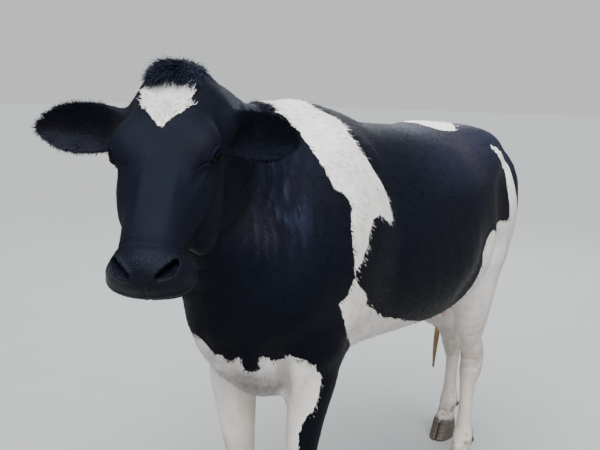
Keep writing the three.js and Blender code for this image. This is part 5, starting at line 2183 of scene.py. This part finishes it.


# the poll's tuft is paler than black: partly greyer hair, partly painted sheen on its lit strands
special("coat_poll", poll_mask, "head", 3200, 71, sizes(1.25, 0.8, poll_length, spread=0.22), poll_tilt,
        (0.25, 0.9, 15), CURL, poll_way, white=-40, shade=1.2, follow=0.5)
special("coat_star", star_mask, "head", 3000, 72, sizes(1.6, 1.0, 24, spread=0.2), 0.06,
        (0.14, 0.85, 20), WAVE, deep=0.3, shade=-0.15, follow=0.55)
special("coat_crest", crest_mask, "neck", 2600, 73, sizes(2.0, 1.2, 26, spread=0.2), 0.14, (0.14, 0.25, 50))

# %% Ears' long hair and fringe
ear_faces = face_zone == "ears"
ear_edge = np.zeros(len(face_centre), bool)
for _, near, along, across, thick, at, half in each_ear(face_centre):
    ear_edge[near] |= (along > 45) & ((np.abs(across) > half - 9) | (at > 0.93))


def fringe_way(p, n):
    """Outwards all round the edge of the ear."""
    way = lie_of(p, n)
    for ear, near, along, across, thick, at, half in each_ear(p):
        outward = ear["across"] * (np.sign(across) * ramp(np.abs(across), 0.5 * half, half))[:, None]
        way[near] = ear["out"] * (0.45 + 0.8 * ramp(at, 0.7, 1))[:, None] + outward + 0.12 * ear["front"]
    return way


def ear_hair_way(p, n):
    """From both edges towards the middle of the hollow."""
    way = lie_of(p, n)
    for ear, near, along, across, thick, at, half in each_ear(p):
        way[near] = 0.8 * ear["out"] - ear["across"] * (0.9 * across / half)[:, None]
    return way


special("coat_ear_fringe", ear_edge & ear_faces, "ears", 4500, 74, sizes(0.85, 0.6, 12, spread=0.25), 0.08,
        (0.2, 0.2, 20), way_of=fringe_way)
special("coat_ear_hair", (ear_inside(face_centre) > 0.4) & ear_faces, "ears", 1500, 75,
        sizes(1.0, 0.7, 22, spread=0.25), 0.3, (0.25, 0.3, 20), way_of=ear_hair_way,
        shade=-0.1)

# %% Brisket, belly, backs of the legs and the hairline over the claws
face_height, is_leg = face_centre[:, 2], face_zone == "legs"
underside = (face_zone == "trunk") & (face_normal[:, 2] < -0.3) & (face_height < 1000)
hairline = is_leg & (face_height < 104) & (face_normal[:, 2] > -0.5)
behind_fetlock = is_leg & (face_height > 118) & (face_height < 210) & (face_normal[:, 1] > 0.5)
special("coat_underside", underside, "trunk", 3200, 76, sizes(2.0, 1.3, 21, spread=0.2), 0.14,
        (0.18, 0.3, 50))
special("coat_hairline", hairline, "legs", 2300, 77, sizes(1.8, 1.2, 17, spread=0.2), 0.22,
        (0.14, 0.1, 20))
special("coat_fetlock", behind_fetlock, "legs", 900, 78, sizes(2.0, 1.4, 24, spread=0.2), 0.3,
        (0.15, 0.15, 20))
print("long hair,", clock())

# %% [markdown]
# ## The tail's switch
#
# The tail ends in a tassel of long, straw-coloured hair. Each lock follows the tail's own
# line, starting somewhere along its lower part and ending in a point, so the tassel is
# full above and thin below.

# %% Switch
SWITCH = [
    [-196, 1516, 628, 9],
    [-205, 1518, 600, 11],
    [-228, 1522, 520, 12],
    [-240, 1522, 420, 13],
    [-246, 1520, 330, 12],
    [-248, 1518, 255, 9],
]
SWITCH_LOCKS = 420
SPAN_STEPS = 10                # steps to each span of the switch's line
LOCK_RINGS = 8


def switch_locks():
    draw = np.random.default_rng(81)
    centre = smooth_path([row[:3] for row in SWITCH], SPAN_STEPS)
    radius = profile([[i, row[3]] for i, row in enumerate(SWITCH)], 1, np.arange(len(centre)) / SPAN_STEPS)
    points, faces, local, tip, shade, spots = [], [], [], [], [], []
    last = len(centre) - 1
    stations = np.arange(last + 1)
    columns = int(math.ceil(math.sqrt(SWITCH_LOCKS)))
    for n in range(SWITCH_LOCKS):
        start = int(draw.integers(0, 16))
        end = int(min(last, start + draw.integers(32, 52)))
        turn, off = draw.random() * 2 * math.pi, math.sqrt(draw.random())
        twist, wide = draw.normal(0, 0.5), draw.uniform(1.6, 3.0)
        tone = float(np.clip(0.5 + 0.25 * draw.standard_normal(), 0, 1.3))
        spot = ((n % columns + 0.15) / columns, (n // columns + 0.15) / columns)
        faces += spike_faces(LOCK_RINGS, len(points))
        for r, at in enumerate(np.linspace(start, end, LOCK_RINGS + 1)):
            t = r / LOCK_RINGS
            middle = np.array([np.interp(at, stations, centre[:, k]) for k in range(3)])
            fullness = 0.55 + 0.45 * math.sin(math.pi * min(t + 0.15, 1))
            reach = np.interp(at, stations, radius) * off * fullness
            angle = turn + twist * t
            middle = middle + reach * np.array([math.cos(angle), math.sin(angle), 0])
            thick = wide * (1 - t) ** 0.6 + 0.05
            corners = 3 if r < LOCK_RINGS else 1
            for i in range(corners):
                around = angle + 2 * math.pi * i / 3
                corner = 0.5 * thick * np.array([math.cos(around), math.sin(around), 0])
                points.append(middle + corner * (corners == 3))
                local.append(((0, 1, 0.5)[i] if corners == 3 else 0.5, 0.06 + 0.9 * t - 0.05 * (i == 2)))
            tip += [t] * corners
            shade += [tone] * corners
            spots += [spot] * corners
    piece = mesh_object("coat_switch", place(np.array(points)), np.array(faces))
    turn_outwards(piece.data)
    store(piece, "shade", shade)
    store(piece, "tip", tip)
    uv = np.array(spots) + np.array(local) * MAP_PATCH / columns
    layer = piece.data.uv_layers.new(name="OFBake")
    corner_vertex = np.zeros(len(piece.data.loops), np.int32)
    piece.data.loops.foreach_get("vertex_index", corner_vertex)
    layer.data.foreach_set("uv", uv[corner_vertex].astype(np.float32).ravel())
    return piece


STRAW_DARK, STRAW_PALE = (0.30, 0.205, 0.10, 1), (0.62, 0.47, 0.27, 1)
STRAW_DIRT = (0.16, 0.115, 0.07, 1)


def straw_material():
    material, g = new_material("switch hair")
    dirt = g.scaled(g.noise(g.where(), 40, 4), 0.5, 0.75, 0, 0.6)
    colour = g.mix(g.read("shade"), STRAW_DARK, STRAW_PALE)
    g.finish({"Base Color": g.mix(dirt, colour, STRAW_DIRT), "Roughness": 0.6})
    return material


switch = switch_locks()
switch.data.materials.append(straw_material())
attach(switch, "root")
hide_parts("tail_switch")
print("switch:", len(switch.data.polygons), "faces")

# %% [markdown]
# ## Eyelashes
#
# Long lashes hang from the upper lid and shade the eye. They are the same locks as
# elsewhere, thin and set in a row along the lid.

# %% Lashes
LASHES = 46


def lashes():
    draw = np.random.default_rng(91)
    points, normals, way = [], [], []
    for side in SIDES.values():
        centre, out, along, high = eye_frame(side)
        for i in range(LASHES):
            part = -0.92 + 1.7 * (i + draw.random() * 0.6) / LASHES
            a = part * LID_HALF
            b = -LID_SLANT * part + LID_UPPER * (1 - part * part) + 1.2 + draw.random()
            depth = math.sqrt(max((EYE_RADIUS + LID_THICK - 0.6) ** 2 - a * a - b * b, 1))
            points.append(centre + a * along + b * high + depth * out)
            normals.append(high)
            way.append(0.95 * out + 0.12 * high - 0.02 * a * along + 0.12 * draw.standard_normal(3))
    points, normals, way = np.array(points), unit(np.array(normals)), unit(np.array(way))
    amount = len(points)
    size = np.stack([np.full(amount, 0.75), np.full(amount, 1.6), 10 + 3 * draw.random(amount)], 1)
    marks = np.full(amount, -50.0), np.full(amount, 0.4)
    return coat_piece("eyelashes", (points, normals), way, size, marks, to_head(points)[:, :2].T, LOCK, HAIR,
                      roll=0.3, seed=9, follow=BODY_SHARE)


pieces.append(lashes())

# %% [markdown]
# ## Floor and light
#
# The floor is plain and pale. A wide, soft sun stands for an overcast sky, a soft light in
# front fills the face, and a cooler one from behind draws the line of the back. The world
# is a dome, darker towards the ground, that the gloss of the coat reflects.

# %% Floor
FLOOR_HALF = 45.0
FLOOR_DARK, FLOOR_PALE = (0.31, 0.31, 0.306, 1), (0.34, 0.338, 0.334, 1)
floor_corners = np.array([(-1, -1, 0), (1, -1, 0), (1, 1, 0), (-1, 1, 0)]) * FLOOR_HALF
floor = mesh_object("floor", floor_corners, np.array([(0, 1, 2, 3)]))
floor_finish, g = new_material("floor")
speck = g.noise(g.where(), 3.0, 4)
g.finish({"Base Color": g.mix(speck, FLOOR_DARK, FLOOR_PALE), "Roughness": 0.85})
floor.data.materials.append(floor_finish)
print("floor:", 2 * FLOOR_HALF, "m wide")

# %% Lights
def light(name, kind, towards_light, **settings):
    """A light that shines from the given way, which is a vector towards the light."""
    data = bpy.data.lights.new(name, kind)
    for key, value in settings.items():
        setattr(data, key, value)
    lamp = bpy.data.objects.new(name, data)
    bpy.context.scene.collection.objects.link(lamp)
    lamp.rotation_euler = Vector(towards_light).to_track_quat("Z", "Y").to_euler()
    return lamp


def soft_light(name, spot, target, power, size, colour):
    lamp = light(name, "AREA", Vector(spot) - Vector(target), energy=power, size=size, color=colour)
    lamp.location = spot


light("overcast", "SUN", (0.30, -0.42, 1.0), energy=6.8, angle=math.radians(60), color=(0.97, 0.985, 1.0))
soft_light("front", (3.2, -4.9, 4.2), (0.1, -0.9, 1.3), 150, 3.2, (1.0, 0.985, 0.96))
soft_light("rear", (-2.5, 4.5, 3.6), (0, 0.4, 1.1), 130, 3.0, (0.9, 0.95, 1.0))

# %% Sky
SKY_LOW, SKY_HIGH = (0.17, 0.18, 0.20, 1), (0.62, 0.66, 0.72, 1)
BACKDROP = (0.70, 0.71, 0.72, 1)
world = bpy.data.worlds.new("studio")
bpy.context.scene.world = world
world.use_nodes = True
sky = Shades(world.node_tree)
rise = sky.scaled(sky.height(sky.add("ShaderNodeTexCoord").outputs["Generated"]), -0.05, 0.9)
seen = sky.add("ShaderNodeLightPath").outputs["Is Camera Ray"]
sky_colour = sky.mix(seen, sky.mix(rise, SKY_LOW, SKY_HIGH), BACKDROP)
sky.feed(sky.nodes["Background"].inputs[0], sky_colour)
print("studio ready,", clock())
